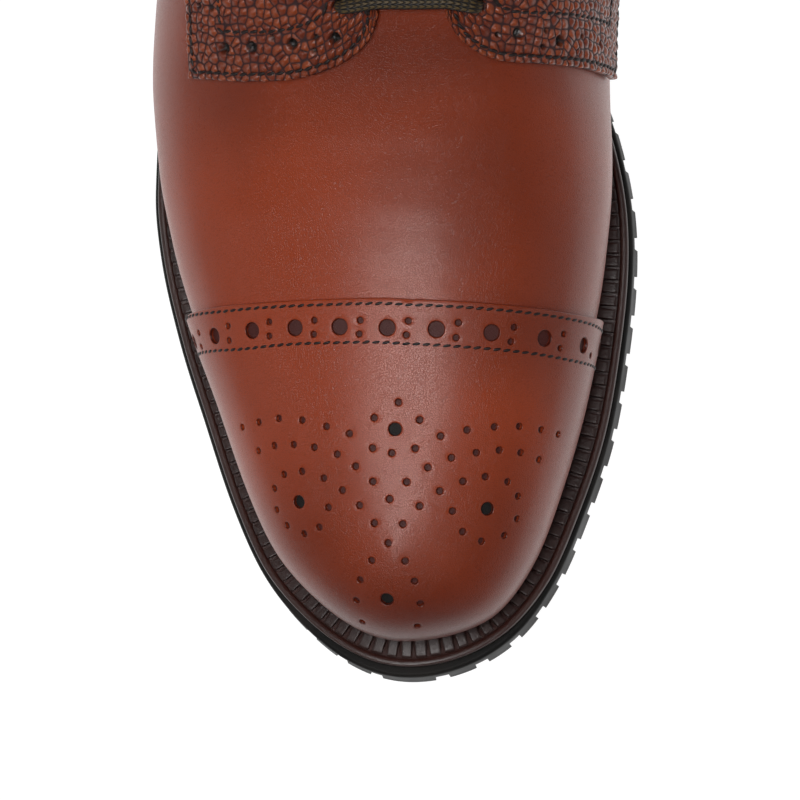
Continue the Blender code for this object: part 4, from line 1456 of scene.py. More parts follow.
# %% Stitch tree
def make_stitch_tree():
    rows = (
        ("Geometry", "NodeSocketGeometry", None),
        ("Pitch", FLOAT, 0.0021),
        ("Length", FLOAT, 0.0019),
        ("Width", FLOAT, 0.0007),
        ("Height", FLOAT, 0.0005),
        ("Slant", FLOAT, 0.2),
        ("Unevenness", FLOAT, 0.08),
        ("Seed", "NodeSocketInt", 3),
        ("Material", "NodeSocketMaterial", None),
    )
    tree, given, end = new_group(
        "laid_stitches", "GeometryNodeTree", rows, (("Geometry", "NodeSocketGeometry", None),)
    )
    curve = put(tree, "GeometryNodeMeshToCurve", {"Mesh": given["Geometry"]}).outputs[0]
    seam = put(
        tree, "GeometryNodeResampleCurve", {"Curve": curve, "Length": given["Pitch"]},
        mode="LENGTH",
    ).outputs[0]
    up = put(
        tree, "GeometryNodeInputNamedAttribute", {"Name": "up"}, data_type="FLOAT_VECTOR"
    ).outputs["Attribute"]
    along = put(tree, "GeometryNodeInputTangent").outputs[0]
    facing = put(
        tree, "FunctionNodeAxesToRotation", {"Primary Axis": up, "Secondary Axis": along},
        primary_axis="Z", secondary_axis="X",
    ).outputs[0]
    stray = put(
        tree, "FunctionNodeRandomValue",
        {"Min": calc(tree, "MULTIPLY", given["Unevenness"], -1.0), "Max": given["Unevenness"],
         "Seed": given["Seed"]},
        data_type="FLOAT",
    )
    angle = calc(tree, "ADD", given["Slant"], stray.outputs[1])
    slant = put(
        tree, "FunctionNodeEulerToRotation",
        {0: put(tree, "ShaderNodeCombineXYZ", {2: angle}).outputs[0]},
    ).outputs[0]
    turned = put(
        tree, "FunctionNodeRotateRotation", {"Rotation": facing, "Rotate By": slant},
        rotation_space="LOCAL",
    ).outputs[0]
    bead = put(tree, "GeometryNodeMeshUVSphere", {"Segments": 8, "Rings": 6, "Radius": 0.5})
    size = put(
        tree, "ShaderNodeCombineXYZ",
        {0: given["Length"], 1: given["Width"], 2: given["Height"]},
    ).outputs[0]
    laid = put(
        tree, "GeometryNodeInstanceOnPoints",
        {"Points": seam, "Instance": bead.outputs[0], "Rotation": turned, "Scale": size},
    ).outputs[0]
    whole = put(tree, "GeometryNodeRealizeInstances", {"Geometry": laid}).outputs[0]
    worn = put(
        tree, "GeometryNodeSetMaterial", {"Geometry": whole, "Material": given["Material"]}
    ).outputs[0]
    tree.links.new(worn, end.inputs["Geometry"])
    return tree


LAID_STITCHES = make_stitch_tree()


def seam_object(rows):
    """Seams as lines of edges, each point with the leather's outward way."""
    points, outs, edges = [], [], []
    for path, out in rows:
        start = len(points)
        points += list(path)
        outs += list(out)
        edges += [(k, k + 1) for k in range(start, len(points) - 1)]
    mesh = bpy.data.meshes.new("seams")
    mesh.from_pydata([tuple(p) for p in points], edges, [])
    layer = mesh.attributes.new("up", "FLOAT_VECTOR", "POINT")
    layer.data.foreach_set("vector", np.array(outs, np.float32).ravel())
    thing = bpy.data.objects.new("seams", mesh)
    bpy.context.collection.objects.link(thing)
    return thing


def stitched(name, rows, **sizes):
    return grown(name, seam_object(rows), LAID_STITCHES, Material=THREAD, **sizes)


# %% Cap stitches
STITCH_PITCH = 2.15 * MM
STITCH_SINK = 0.05 * MM


def cap_row(pixels):
    line = row_over_cap(pixels, CAP_OFFSET)
    beside = np.linspace(1 - OVERLAY_FOOT - 0.02, OVERLAY_FOOT + 0.02 - 1, 500)
    w = np.where(beside >= 0, line(beside) / 2, 1 - line(beside) / 2)
    t = 1 - abs(beside)
    return on_last(w, t, CAP_OFFSET - STITCH_SINK), out_of_last(w, t)


cap_rows = [cap_row(UPPER_STITCH_PIXELS), cap_row(LOWER_STITCH_PIXELS)]
done(stitched("cap_stitches", cap_rows, Pitch=STITCH_PITCH, Slant=0.22), "calf")


# %% Wells of the punched holes
WELL_DEPTH = 0.9 * MM


def make_well_tree():
    """A disc at each point, as wide as its radius and square to the leather."""
    rows = (
        ("Geometry", "NodeSocketGeometry", None),
        ("Corners", "NodeSocketInt", 20),
        ("Material", "NodeSocketMaterial", None),
    )
    tree, given, end = new_group(
        "punched_wells", "GeometryNodeTree", rows, (("Geometry", "NodeSocketGeometry", None),)
    )

    def named(label, kind):
        return put(
            tree, "GeometryNodeInputNamedAttribute", {"Name": label}, data_type=kind
        ).outputs["Attribute"]

    facing = put(
        tree, "FunctionNodeAxesToRotation",
        {"Primary Axis": named("up", "FLOAT_VECTOR"), "Secondary Axis": (0.0, 1.0, 0.0)},
        primary_axis="Z", secondary_axis="X",
    ).outputs[0]
    disc = put(
        tree, "GeometryNodeMeshCircle", {"Vertices": given["Corners"], "Radius": 1.0},
        fill_type="NGON",
    ).outputs[0]
    reach = named("reach", "FLOAT")
    size = put(tree, "ShaderNodeCombineXYZ", {0: reach, 1: reach, 2: 1.0}).outputs[0]
    laid = put(
        tree, "GeometryNodeInstanceOnPoints",
        {"Points": given["Geometry"], "Instance": disc, "Rotation": facing, "Scale": size},
    ).outputs[0]
    whole = put(tree, "GeometryNodeRealizeInstances", {"Geometry": laid}).outputs[0]
    worn = put(
        tree, "GeometryNodeSetMaterial", {"Geometry": whole, "Material": given["Material"]}
    ).outputs[0]
    tree.links.new(worn, end.inputs["Geometry"])
    return tree


def wells(name, holes, material):
    w, t, radius = (np.array([hole[k] for hole in holes]) for k in range(3))
    mesh = bpy.data.meshes.new(name)
    mesh.from_pydata(on_last(w, t, CAP_OFFSET - WELL_DEPTH).tolist(), [], [])
    outs = out_of_last(w, t).astype(np.float32)
    mesh.attributes.new("up", "FLOAT_VECTOR", "POINT").data.foreach_set("vector", outs.ravel())
    mesh.attributes.new("reach", "FLOAT", "POINT").data.foreach_set(
        "value", radius.astype(np.float32)
    )
    source = bpy.data.objects.new(name, mesh)
    bpy.context.collection.objects.link(source)
    return grown(name, source, WELL_TREE, Material=material)


WELL_TREE = make_well_tree()
# The open medallion holes get a near-black disc of painted shade, and the band holes a backing darkened
# as painted shade
open_holes = [hole for hole in cap_holes if hole[2] == MEDALLION_HOLE_RADIUS]
backed_holes = [hole for hole in cap_holes if hole[2] != MEDALLION_HOLE_RADIUS]
done(wells("medallion_wells", open_holes, PAINTED_HOLE_SHADE), "calf")
done(wells("cap_wells", backed_holes, SHADED_BACKING), "calf")

# %% Quarters
FACING_HOLES = {
    -1: ((225, 48), (251.5, 47), (292, 43.5), (335, 38)),
    1: ((518, 32.7), (560, 40.8), (588.7, 42.5), (603.6, 23)),
}
FACING_PINHOLES = {
    -1: ((272, 38), (314, 51), (316, 37), (355, 6)),
    1: ((498, 35), (546, 30.4), (542.8, 46.5), (582, 36), (580, 52), (600, 43)),
}
FACING_HOLE_RADIUS = 1.3 * MM
FACING_PINHOLE_RADIUS = 0.7 * MM
SIDE_HOLE_PITCH = 9.5 * MM
PIN_SPREAD = 1.9 * MM
PIT_DEPTH = 1.3 * MM
# How much painted shade the points on a hole's rim get
RIM_SHADE = 0.35


def quarter(name, side):
    w, t = quarter_grid(side)
    base, outs = on_last(w, t, QUARTER_OFFSET), out_of_last(w, t)
    rows, columns = w.shape
    along = np.concatenate(
        (np.zeros((1, columns)), np.cumsum(np.linalg.norm(np.diff(base, axis=0), axis=-1), 0))
    )
    down = np.concatenate(
        (np.zeros((rows, 1)), np.cumsum(np.linalg.norm(np.diff(base, axis=1), axis=-1), 1)), 1
    )
    from_front, from_border = along[-1] - along, down[:, -1:] - down
    rim = np.minimum(np.minimum(along, from_front), np.minimum(down, from_border))
    field = Field(base, outs)
    front, border = base[-1, ::2], base[::-2, -1]
    edge = np.concatenate((front, border[1:]))
    heart = base[int(rows * 0.6), columns // 2]
    top_edge = base[::-2, 0]
    foot_free = t[::-2, -1] > 0.08
    seam_edge = np.concatenate((front, border[1:][foot_free[1:]]))
    edge_row = seam_inside(edge, field, EDGE_STITCH, heart)
    inner_row = seam_inside(seam_edge, field, INNER_STITCH, heart)
    collar_row = seam_inside(top_edge, field, COLLAR_STITCH, heart)
    holes = []
    for chart, radius in ((FACING_HOLES, FACING_HOLE_RADIUS), (FACING_PINHOLES, FACING_PINHOLE_RADIUS)):
        for place_w, place_t in from_pixels(chart[side], QUARTER_OFFSET):
            holes.append((on_last(place_w, place_t, QUARTER_OFFSET), radius))
    charted = np.array([middle for middle, _ in holes])
    hole_row, hole_outs = seam_inside(seam_edge, field, HOLE_ROW, heart)
    spots = spaced(hole_row, SIDE_HOLE_PITCH / 2)
    for k, spot in enumerate(spots[1:-1]):
        if np.linalg.norm(charted - spot, axis=1).min() < 0.8 * SIDE_HOLE_PITCH:
            continue
        if spot[1] < charted[:, 1].max():
            continue
        if k % 2 == 0:
            holes.append((spot, FACING_HOLE_RADIUS))
        else:
            _, out = field.settle(spot)
            across = unit(np.cross(out, spots[k + 2] - spots[k]))
            holes += [(spot + PIN_SPREAD * across, FACING_PINHOLE_RADIUS),
                      (spot - PIN_SPREAD * across, FACING_PINHOLE_RADIUS)]
    for share, medial, lateral in EYELETS:
        place_w, place_t = round_place(turn(share), side), medial if side > 0 else lateral
        holes.append((on_last(place_w, place_t, QUARTER_OFFSET), EYELET_BORE / 2))
    points = (on_last(w, t, QUARTER_OFFSET - rounded(rim))).reshape(-1, 3)
    flat_outs = outs.reshape(-1, 3)
    press = np.clip(1 - rim / (0.35 * MM), 0, 1).ravel()
    hole_shade_mask = np.zeros(len(points))
    for path, _ in (edge_row, inner_row, collar_row):
        tree = nearest_tree(spaced(path, 0.5 * MM))
        low, high = path.min(axis=0) - 2 * MM, path.max(axis=0) + 2 * MM
        for k in np.flatnonzero(((points > low) & (points < high)).all(axis=1)):
            away = tree.find(points[k])[2]
            if away < 1.6 * MM:
                press[k] = max(press[k], 0.85 * math.exp(-((away / (0.75 * MM)) ** 2)))
    # Points on each hole's edge are pulled to it and get some painted shade; points inside sink and are
    # painted near black as painted shade
    for middle, radius in holes:
        gap = points - middle
        away = np.linalg.norm(gap, axis=1)
        for k in np.flatnonzero(away < radius + 1.2 * MM):
            ratio = away[k] / radius
            press[k] = max(press[k], 1 - ease((away[k] - radius) / (0.7 * MM)))
            if abs(away[k] - radius) < 0.45 * QUARTER_STEP:
                points[k] += gap[k] * (radius / away[k] - 1)
                hole_shade_mask[k] = max(hole_shade_mask[k], RIM_SHADE)
            elif ratio < 1:
                points[k] -= PIT_DEPTH * flat_outs[k]
                hole_shade_mask[k] = 1.0
    count = rows * columns
    index = np.arange(count).reshape(rows, columns)
    loop = list(index[0]) + list(index[1:, -1]) + list(index[-1, -2::-1]) + list(index[-2:0:-1, 0])
    cloud = list(points)
    faces = grid_faces(rows, columns)
    skirt = list(on_last(w.ravel()[loop], t.ravel()[loop], QUARTER_EASE))
    under = list(range(count, count + len(loop)))
    for k in range(len(loop)):
        n = (k + 1) % len(loop)
        faces.append([loop[k], loop[n], under[n], under[k]])
    cloud += skirt
    coarse = np.ix_(np.arange(12, rows - 12, 14), np.arange(12, columns - 12, 14))
    inner_w, inner_t = w[coarse].ravel(), t[coarse].ravel()
    plan = np.stack(np.meshgrid(np.arange(rows), np.arange(columns), indexing="ij"), axis=-1)
    flat = np.concatenate((plan.reshape(-1, 2)[loop], plan[coarse].reshape(-1, 2))) * MM
    back = triangles(flat, [list(range(len(loop)))], [])
    names = under + list(range(len(cloud), len(cloud) + len(inner_w)))
    cloud += list(on_last(inner_w, inner_t, QUARTER_EASE))
    faces += [[names[k] for k in face] for face in back]
    mesh = bpy.data.meshes.new(name)
    mesh.from_pydata([tuple(p) for p in cloud], [], faces)
    shape = bmesh.new()
    shape.from_mesh(mesh)
    bmesh.ops.recalc_face_normals(shape, faces=shape.faces)
    shape.to_mesh(mesh)
    shape.free()
    mesh.shade_smooth()
    across_map = (from_front / PEBBLE_SIZE).ravel()
    down_map = ((down - down[:, columns // 2:columns // 2 + 1]) / PEBBLE_SIZE).ravel()
    flat_map = np.zeros((len(cloud), 2), np.float32)
    flat_map[:count, 0], flat_map[:count, 1] = across_map, down_map
    flat_map[under] = flat_map[loop]
    corners = np.zeros(len(mesh.loops), np.int32)
    mesh.loops.foreach_get("vertex_index", corners)
    mesh.uv_layers.new(name="grain_map").data.foreach_set("uv", flat_map[corners].ravel())
    thing = bpy.data.objects.new(name, mesh)
    bpy.context.collection.objects.link(thing)
    padding = np.ones(len(cloud) - count)
    set_attribute(thing, "press", np.concatenate((press, padding)))
    set_attribute(thing, "hole", np.concatenate((hole_shade_mask, 0 * padding)))
    set_attribute(thing, "burnish_and_shade", burnish_and_shade_at(points_of(thing)))
    hide = grown(name, thing, PEBBLED_HIDE, Height=PEBBLE_HEIGHT, Material=GRAINED)
    seams = [
        (path - 0.05 * MM * out, out) for path, out in (edge_row, inner_row, collar_row)
    ]
    return hide, seams


quarter_seams = []
for label, side in (("medial", 1), ("lateral", -1)):
    hide, seams = quarter("grained_quarter_" + label, side)
    done(hide, "grain", "quarter_" + label)
    quarter_seams += seams
quarter_thread = stitched(
    "quarter_stitches", quarter_seams, Pitch=2.3 * MM, Length=2.3 * MM, Slant=0.2,
    Width=0.85 * MM, Height=0.9 * MM,
)
done(quarter_thread, "calf")

# %% [markdown]
# ## Welt and its wheeled ribs
#
# The welt is a strip of leather all round. Its lip is smooth, and a hot wheel has pressed
# the band beside the upper into small pads. The strip is a section swept round the outline,
# and a tree sets the pads on it at the wheel's pitch.

# %% Welt
WELT_TURNS = 900
RIB_PITCH = 2.95 * MM
RIB_LENGTH = 2.35 * MM
RIB_HEIGHT = 1.15 * MM


def round_sweep(name, section, material, count=WELT_TURNS, sharp=40):
    """A section of (inset, height over the tread) pairs swept round the outline."""
    way = lengths(sole_edge(np.linspace(0, 1, 4001)))
    ws = np.interp(np.linspace(0, way[-1], count + 1)[:-1], way, np.linspace(0, 1, 4001))
    rows = []
    for inside_by, rise in section(ws):
        plan = inset(ws, inside_by)
        rows.append(place(plan, tread_height(plan[:, 0]) + rise))
    points = np.stack(rows, axis=1)
    faces = grid_faces(count, points.shape[1], wrap_rows=True, wrap_columns=True)
    return piece(name, points, faces, material, sharp=sharp)


def welt_section(ws):
    base = SOLE_THICK + GAP
    lip, bed = lip_setback(ws), margin(ws) + WELT_BED
    top = base + WELT_THICK - WELT_STEP
    step = lip + WELT_LIP
    return (
        (lip + 0.2 * MM, base),
        (lip, base + 0.3 * MM),
        (lip, top - 0.7 * MM),
        (lip + 0.15 * MM, top - 0.25 * MM),
        (lip + 0.5 * MM, top),
        (step - 0.35 * MM, top),
        (step - 0.15 * MM, top - 0.15 * MM),
        (step, top - 0.3 * MM),
        (step + 0.2 * MM, top - 0.1 * MM),
        (bed, top),
        (bed, base),
    )


def make_rib_tree():
    rows = (
        ("Geometry", "NodeSocketGeometry", None),
        ("Pitch", FLOAT, 0.003),
        ("Length", FLOAT, 0.0023),
        ("Height", FLOAT, 0.001),
        ("Unevenness", FLOAT, 0.08),
        ("Seed", "NodeSocketInt", 5),
        ("Material", "NodeSocketMaterial", None),
    )
    tree, given, end = new_group(
        "wheeled_ribs", "GeometryNodeTree", rows, (("Geometry", "NodeSocketGeometry", None),)
    )
    curve = put(tree, "GeometryNodeMeshToCurve", {"Mesh": given["Geometry"]}).outputs[0]
    band = put(
        tree, "GeometryNodeResampleCurve", {"Curve": curve, "Length": given["Pitch"]},
        mode="LENGTH",
    ).outputs[0]

    def named(label, kind):
        return put(
            tree, "GeometryNodeInputNamedAttribute", {"Name": label}, data_type=kind
        ).outputs["Attribute"]

    along = put(tree, "GeometryNodeInputTangent").outputs[0]
    facing = put(
        tree, "FunctionNodeAxesToRotation",
        {"Primary Axis": named("up", "FLOAT_VECTOR"), "Secondary Axis": along},
        primary_axis="Z", secondary_axis="X",
    ).outputs[0]
    stray = put(
        tree, "FunctionNodeRandomValue",
        {"Min": calc(tree, "SUBTRACT", 1.0, given["Unevenness"]),
         "Max": calc(tree, "ADD", 1.0, given["Unevenness"]), "Seed": given["Seed"]},
        data_type="FLOAT",
    ).outputs[1]
    block = put(
        tree, "GeometryNodeMeshCube",
        {"Size": (1.0, 1.0, 1.0), "Vertices X": 3, "Vertices Y": 3, "Vertices Z": 2},
    ).outputs[0]
    pad = put(
        tree, "GeometryNodeSubdivisionSurface", {"Mesh": block, "Level": 2, "Edge Crease": 0.45}
    ).outputs[0]
    size = put(
        tree, "ShaderNodeCombineXYZ",
        {0: calc(tree, "MULTIPLY", given["Length"], stray), 1: named("reach", "FLOAT"),
         2: given["Height"]},
    ).outputs[0]
    set_pads = put(
        tree, "GeometryNodeInstanceOnPoints",
        {"Points": band, "Instance": pad, "Rotation": facing, "Scale": size},
    ).outputs[0]
    whole = put(tree, "GeometryNodeRealizeInstances", {"Geometry": set_pads}).outputs[0]
    worn = put(
        tree, "GeometryNodeSetMaterial", {"Geometry": whole, "Material": given["Material"]}
    ).outputs[0]
    tree.links.new(worn, end.inputs["Geometry"])
    return tree


def rib_band():
    """A closed line down the middle of the wheeled band, with the band's width."""
    ws = np.arange(2000) / 2000
    inner = margin(ws) - 0.2 * MM
    outer = lip_setback(ws) + WELT_LIP + 0.1 * MM
    width = np.maximum(inner - outer, 0.9 * MM)
    plan = inset(ws, outer + width / 2)
    top = SOLE_THICK + GAP + WELT_THICK - WELT_STEP
    points = place(plan, tread_height(plan[:, 0]) + top + RIB_HEIGHT * 0.42)
    mesh = bpy.data.meshes.new("rib_band")
    mesh.from_pydata(points.tolist(), [(k, (k + 1) % 2000) for k in range(2000)], [])
    ahead = np.roll(points, -1, axis=0) - np.roll(points, 1, axis=0)
    level = np.stack((-ahead[:, 1], ahead[:, 0], np.zeros(2000)), axis=1)
    up = np.cross(ahead, level)
    up /= np.linalg.norm(up, axis=1, keepdims=True)
    up[up[:, 2] < 0] *= -1
    mesh.attributes.new("up", "FLOAT_VECTOR", "POINT").data.foreach_set(
        "vector", up.astype(np.float32).ravel()
    )
    mesh.attributes.new("reach", "FLOAT", "POINT").data.foreach_set("value", width.astype(np.float32))
    thing = bpy.data.objects.new("rib_band", mesh)
    bpy.context.collection.objects.link(thing)
    return thing


done(round_sweep("welt_strip", welt_section, WELT_LEATHER), "welt", "welt")
ribs = grown(
    "welt_ribs", rib_band(), make_rib_tree(),
    Pitch=RIB_PITCH, Length=RIB_LENGTH, Height=RIB_HEIGHT, Material=RIB_LEATHER,
)
done(ribs, "welt")

# %% [markdown]
# ## Rubber sole and heel
#
# The outsole's lugs, waist and heel seat follow the frame's own rule for rows of lugs and
# grooves, only with finer rows, so the outline runs smoothly. Its top edge is rounded and
# catches the light as a bright line.

# %% Sole
FINE_ROWS = 5
EDGE_RISE = 0.0


def pitch_stops(first, last):
    """q values round the sole's edge where lugs and grooves follow each other."""
    turns = np.linspace(first, last, 601)
    steps = sum(
        np.linalg.norm(np.diff(sole_edge(round_place(turns, side)), axis=0), axis=1)
        for side in (1, -1)
    ) / 2
    way = np.concatenate(([0.0], np.cumsum(steps)))
    pairs = max(1, round((way[-1] + LUG_GROOVE) / (LUG_LENGTH + LUG_GROOVE)))
    scale = way[-1] / (pairs * (LUG_LENGTH + LUG_GROOVE) - LUG_GROOVE)
    at = [0.0]
    for k in range(2 * pairs - 1):
        at.append(at[-1] + scale * (LUG_LENGTH if k % 2 == 0 else LUG_GROOVE))
    return [float(np.interp(mark, way, turns)) for mark in at[:-1]] + [last]


def finer(stops):
    """Rows between the stops, and for each interval the number of its first stop."""
    rows, owner = [], []
    for k, (a, b) in enumerate(zip(stops, stops[1:])):
        for part in range(FINE_ROWS):
            rows.append(a + (b - a) * part / FINE_ROWS)
            owner.append(k)
    return rows + [stops[-1]], owner


class Cells:
    """Faces of a treaded bottom, with one vertex for each place."""

    def __init__(self):
        self.points = []
        self.faces = []

    def face(self, *corners):
        start = len(self.points)
        self.points += [tuple(corner) for corner in corners]
        self.faces.append(list(range(start, start + len(corners))))

    def strip(self, first, second):
        for k in range(len(first) - 1):
            self.face(first[k], first[k + 1], second[k + 1], second[k])


def treaded(name, rows, lug_at, low, high, edge_at, levels, material, breast=False):
    """A sole of raised and sunken cells with stepped sides and a plain top."""
    cells = Cells()
    last = len(rows[0]) - 1

    def ground(i, j, lug):
        plan = rows[i][j]
        if not lug:
            return place(plan, high(plan[0]))
        if j in (0, last):
            plan = edge_at(i, -1 if j == 0 else 1, -LUG_FLARE)
        return place(plan, low(plan[0]))

    def wall(a, b):
        cells.face(ground(*a, True), ground(*b, True), ground(*b, False), ground(*a, False))

    for i in range(len(rows) - 1):
        for j in range(last):
            lug = lug_at(i, j)
            corners = ((i, j), (i, j + 1), (i + 1, j + 1), (i + 1, j))
            cells.face(*[ground(a, b, lug) for a, b in corners])
            if not lug:
                continue
            beside = (lug_at(i - 1, j), lug_at(i, j + 1), lug_at(i + 1, j), lug_at(i, j - 1))
            sides = ((0, 1), (1, 2), (2, 3), (3, 0))
            for other, (a, b) in zip(beside, sides):
                if not other:
                    wall(corners[a], corners[b])
    tops = []
    for side, end in ((-1, 0), (1, last)):
        lines = [[place(row[end], high(row[end][0])) for row in rows]]
        for inside_by, rise in levels:
            plans = [edge_at(i, side, inside_by) for i in range(len(rows))]
            lines.append([place(plan, rise(plan[0])) for plan in plans])
        for first, second in zip(lines, lines[1:]):
            cells.strip(first, second)
        tops.append(lines)
    cells.strip(tops[0][-1], tops[1][-1])
    if breast:
        bottom = [place(plan, high(plan[0])) for plan in rows[-1]]
        cells.face(*bottom, *[line[-1] for line in tops[1][1:]],
                   *[line[-1] for line in tops[0][:0:-1]])
    return piece(name, np.array(cells.points), cells.faces, material, sharp=38, merge=2e-6)


def outsole():
    start = float(turn(LUG_START))
    plain = [start * k / 15 for k in range(15)]
    stops, owner = finer(plain + pitch_stops(start, 1.0))
    rows = []
    for q in stops:
        left, right = inset(round_place(q, -1), LUG_RIM), inset(round_place(q, 1), LUG_RIM)
        width = float(np.linalg.norm(right - left))
        groove = min(LUG_GROOVE, width / 6) / max(width, 1e-9)
        shares = (0.0, groove, 0.5 - groove / 2, 0.5 + groove / 2, 1 - groove, 1.0)
        inner = [left + (right - left) * share for share in shares]
        rows.append([sole_edge(round_place(q, -1))] + inner + [sole_edge(round_place(q, 1))])

    def lug_at(i, j):
        if not (0 <= i < len(owner) and 0 <= j < 7):
            return False
        k = owner[i]
        if k < len(plain) or (k - len(plain)) % 2 == 1:
            return False
        after = rows[min((k + 1) * FINE_ROWS, len(rows) - 1)]
        width = np.linalg.norm(after[-2] - after[1])
        return j in (0, 6) or (j in (2, 4) and width > 8 * LUG_GROOVE)

    def edge_at(i, side, inside_by):
        return inset(round_place(stops[i], side), inside_by)

    def rise(height):
        return lambda along: tread_height(along) + height

    bend = EDGE_ROUND
    levels = [(0.0, rise(SOLE_THICK - bend))]
    for part in (0.25, 0.5, 0.75, 1.0):
        angle = part * math.pi / 2
        levels.append((bend * (1 - math.cos(angle)), rise(SOLE_THICK - bend + bend * math.sin(angle))))
    return treaded(
        "lugged_outsole", rows, lug_at, tread_height, rise(LUG_DEPTH), edge_at, levels, SOLE_RUBBER
    )


done(outsole(), "sole_rubber", "outsole")


# %% Heel
def heel_edge(q, side, inside_by):
    plan = inset(round_place(q, side), inside_by)
    if q >= float(turn(HEEL_LENGTH / SOLE_LENGTH)) - 1e-9:
        plan = np.array((HEEL_LENGTH, plan[1]))
    return plan


HEEL_LAYERS = 4
LAYER_GROOVE = 0.18 * MM


def heel_base():
    stops = float(turn(HEEL_LENGTH / SOLE_LENGTH)) * np.linspace(0, 1, 71)
    shares = []
    for layer in range(HEEL_LAYERS):
        shares += [(layer + 0.0, 1), (layer + 0.05, 0), (layer + 0.95, 0)]
    shares += [(HEEL_LAYERS, 1)]
    lines = []
    for side in (-1, 1):
        line = []
        for share, groove in shares:
            share = share / HEEL_LAYERS
            inside_by = HEEL_TAPER + (EDGE_ROUND / 2 - HEEL_TAPER) * share + LAYER_GROOVE * groove
            row = []
            for q in stops:
                plan = heel_edge(q, side, inside_by)
                bottom = TOP_PIECE_THICK + GAP
                top = tread_height(plan[0]) + LUG_DEPTH - GAP
                row.append(place(plan, bottom + (top - bottom) * share))
            line.append(row)
        lines.append(line)
    cells = Cells()
    for line in lines:
        for first, second in zip(line, line[1:]):
            cells.strip(first, second)
    for level in (0, -1):
        cells.strip(lines[0][level], lines[1][level])
    cells.strip([row[-1] for row in lines[0]], [row[-1] for row in lines[1]])
    return piece("stacked_heel", np.array(cells.points), cells.faces, HEEL_STACK, sharp=40, merge=2e-6)


def heel_top_piece():
    breast = float(turn(HEEL_LENGTH / SOLE_LENGTH))
    stops, owner = finer([0.0] + pitch_stops(0.06, breast))
    rows = []
    for q in stops:
        left, right = heel_edge(q, -1, LUG_RIM), heel_edge(q, 1, LUG_RIM)
        if q == 0.0:
            right = left
        width = float(np.linalg.norm(right - left))
        groove = min(LUG_GROOVE, width / 6) / max(width, 1e-9)
        inner = [left + (right - left) * share for share in (0.0, groove, 1 - groove, 1.0)]
        rows.append([heel_edge(q, -1, HEEL_TAPER)] + inner + [heel_edge(q, 1, HEEL_TAPER)])

    def lug_at(i, j):
        if not (0 <= i < len(owner) and 0 <= j < 5):
            return False
        k = owner[i]
        return (k % 2 == 1 or k == 0) and (j in (0, 4) or (j == 2 and k > 2))

    def edge_at(i, side, inside_by):
        return heel_edge(stops[i], side, inside_by + HEEL_TAPER)

    levels = ((0.0, lambda along: TOP_PIECE_THICK - 0.4 * MM),
              (0.1 * MM, lambda along: TOP_PIECE_THICK - 0.1 * MM),
              (0.4 * MM, lambda along: TOP_PIECE_THICK))
    return treaded(
        "heel_rubber", rows, lug_at, lambda along: 0.0, lambda along: TOP_PIECE_TREAD,
        edge_at, levels, SOLE_RUBBER, breast=True,
    )


done(heel_base(), "heel_stack", "heel_base")
done(heel_top_piece(), "sole_rubber", "heel_top_piece")

# %% [markdown]
# ## Back strip, tongue, insole and lace
#
# A narrow strip covers the seam at the back. The tongue lies under the facings and rises
# past the top eyelets. Five bars of flat lace cross the facings and dive into the eyelets.
# The insole's own solid has the right form, so it stays and only gets a finish.

# %% Back strip and tongue
def wall_sheet(name, w, t, outside, inside_at, material, slot, node, round_by=0.5 * MM):
    """A closed wall over a grid of places, with softened edges."""
    outer = on_last(w, t, outside)
    along = np.concatenate((np.zeros((1, w.shape[1])),
                            np.cumsum(np.linalg.norm(np.diff(outer, axis=0), axis=-1), 0)))
    down = np.concatenate((np.zeros((w.shape[0], 1)),
                           np.cumsum(np.linalg.norm(np.diff(outer, axis=1), axis=-1), 1)), 1)
    rim = np.minimum(np.minimum(along, along[-1] - along), np.minimum(down, down[:, -1:] - down))
    rest = np.clip(round_by - rim, 0, round_by)
    outer = on_last(w, t, outside - (round_by - np.sqrt(round_by**2 - rest**2)))
    inner = on_last(w, t, inside_at)
    rows, columns = w.shape
    count = rows * columns
    index = np.arange(count).reshape(rows, columns)
    loop = list(index[0]) + list(index[1:, -1]) + list(index[-1, -2::-1]) + list(index[-2:0:-1, 0])
    faces = grid_faces(rows, columns) + grid_faces(rows, columns, start=count)
    for k in range(len(loop)):
        n = (k + 1) % len(loop)
        faces.append([loop[k], loop[n], loop[n] + count, loop[k] + count])
    points = np.concatenate((outer.reshape(-1, 3), inner.reshape(-1, 3)))
    thing = piece(name, points, faces, material, sharp=60)
    set_attribute(thing, "burnish_and_shade", burnish_and_shade_at(points_of(thing)))
    return done(thing, slot, node)


def back_strip():
    side_turns = np.concatenate((
        -np.linspace(strip_turn(-1), 0, 25), np.linspace(0, strip_turn(1), 25)[1:]
    ))
    ws = (side_turns / 2) % 1.0
    ts = OVERLAY_FOOT + (top_t(ws) - OVERLAY_FOOT)[:, None] * np.linspace(0, 1, 80)[None, :]
    w = np.broadcast_to(ws[:, None], ts.shape)
    return wall_sheet("heel_strip", w, ts, GAP + OVERLAY, GAP, STRIP_CALF, "calf", "back_strip")


TONGUE_FRONT = 0.60
TONGUE_BACK = 0.375
TONGUE_REACH = 0.24
TONGUE_FLARE = 0.14


def tongue():
    part = np.linspace(0, 1, 130)[:, None]
    q = turn(TONGUE_FRONT) + (turn(TONGUE_BACK) - turn(TONGUE_FRONT)) * part
    reach = TONGUE_REACH + TONGUE_FLARE * np.sin(np.pi * np.minimum(part, 0.75))
    beside = np.linspace(-1, 1, 71)[None, :]
    t = 1 - reach * abs(beside)
    w = np.where(beside > 0, q / 2, 1 - q / 2) + 0 * t
    outside = -WALL - TONGUE_EASE
    return wall_sheet(
        "leather_tongue", w, t, outside, outside - TONGUE_THICK, TONGUE_CALF, "calf", "tongue",
        round_by=0.9 * MM,
    )


back_strip()
tongue()
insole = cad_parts["insole"]
insole.data.materials.clear()
insole.data.materials.append(LINING)

# %% Lace
LACE_SIDES = 16
LACE_DIVE = 3.2 * MM
LACE_DRIFT = 1.3 * MM
LACE_PULLED = 0.8
BRAID_PITCH = 1.5 * MM


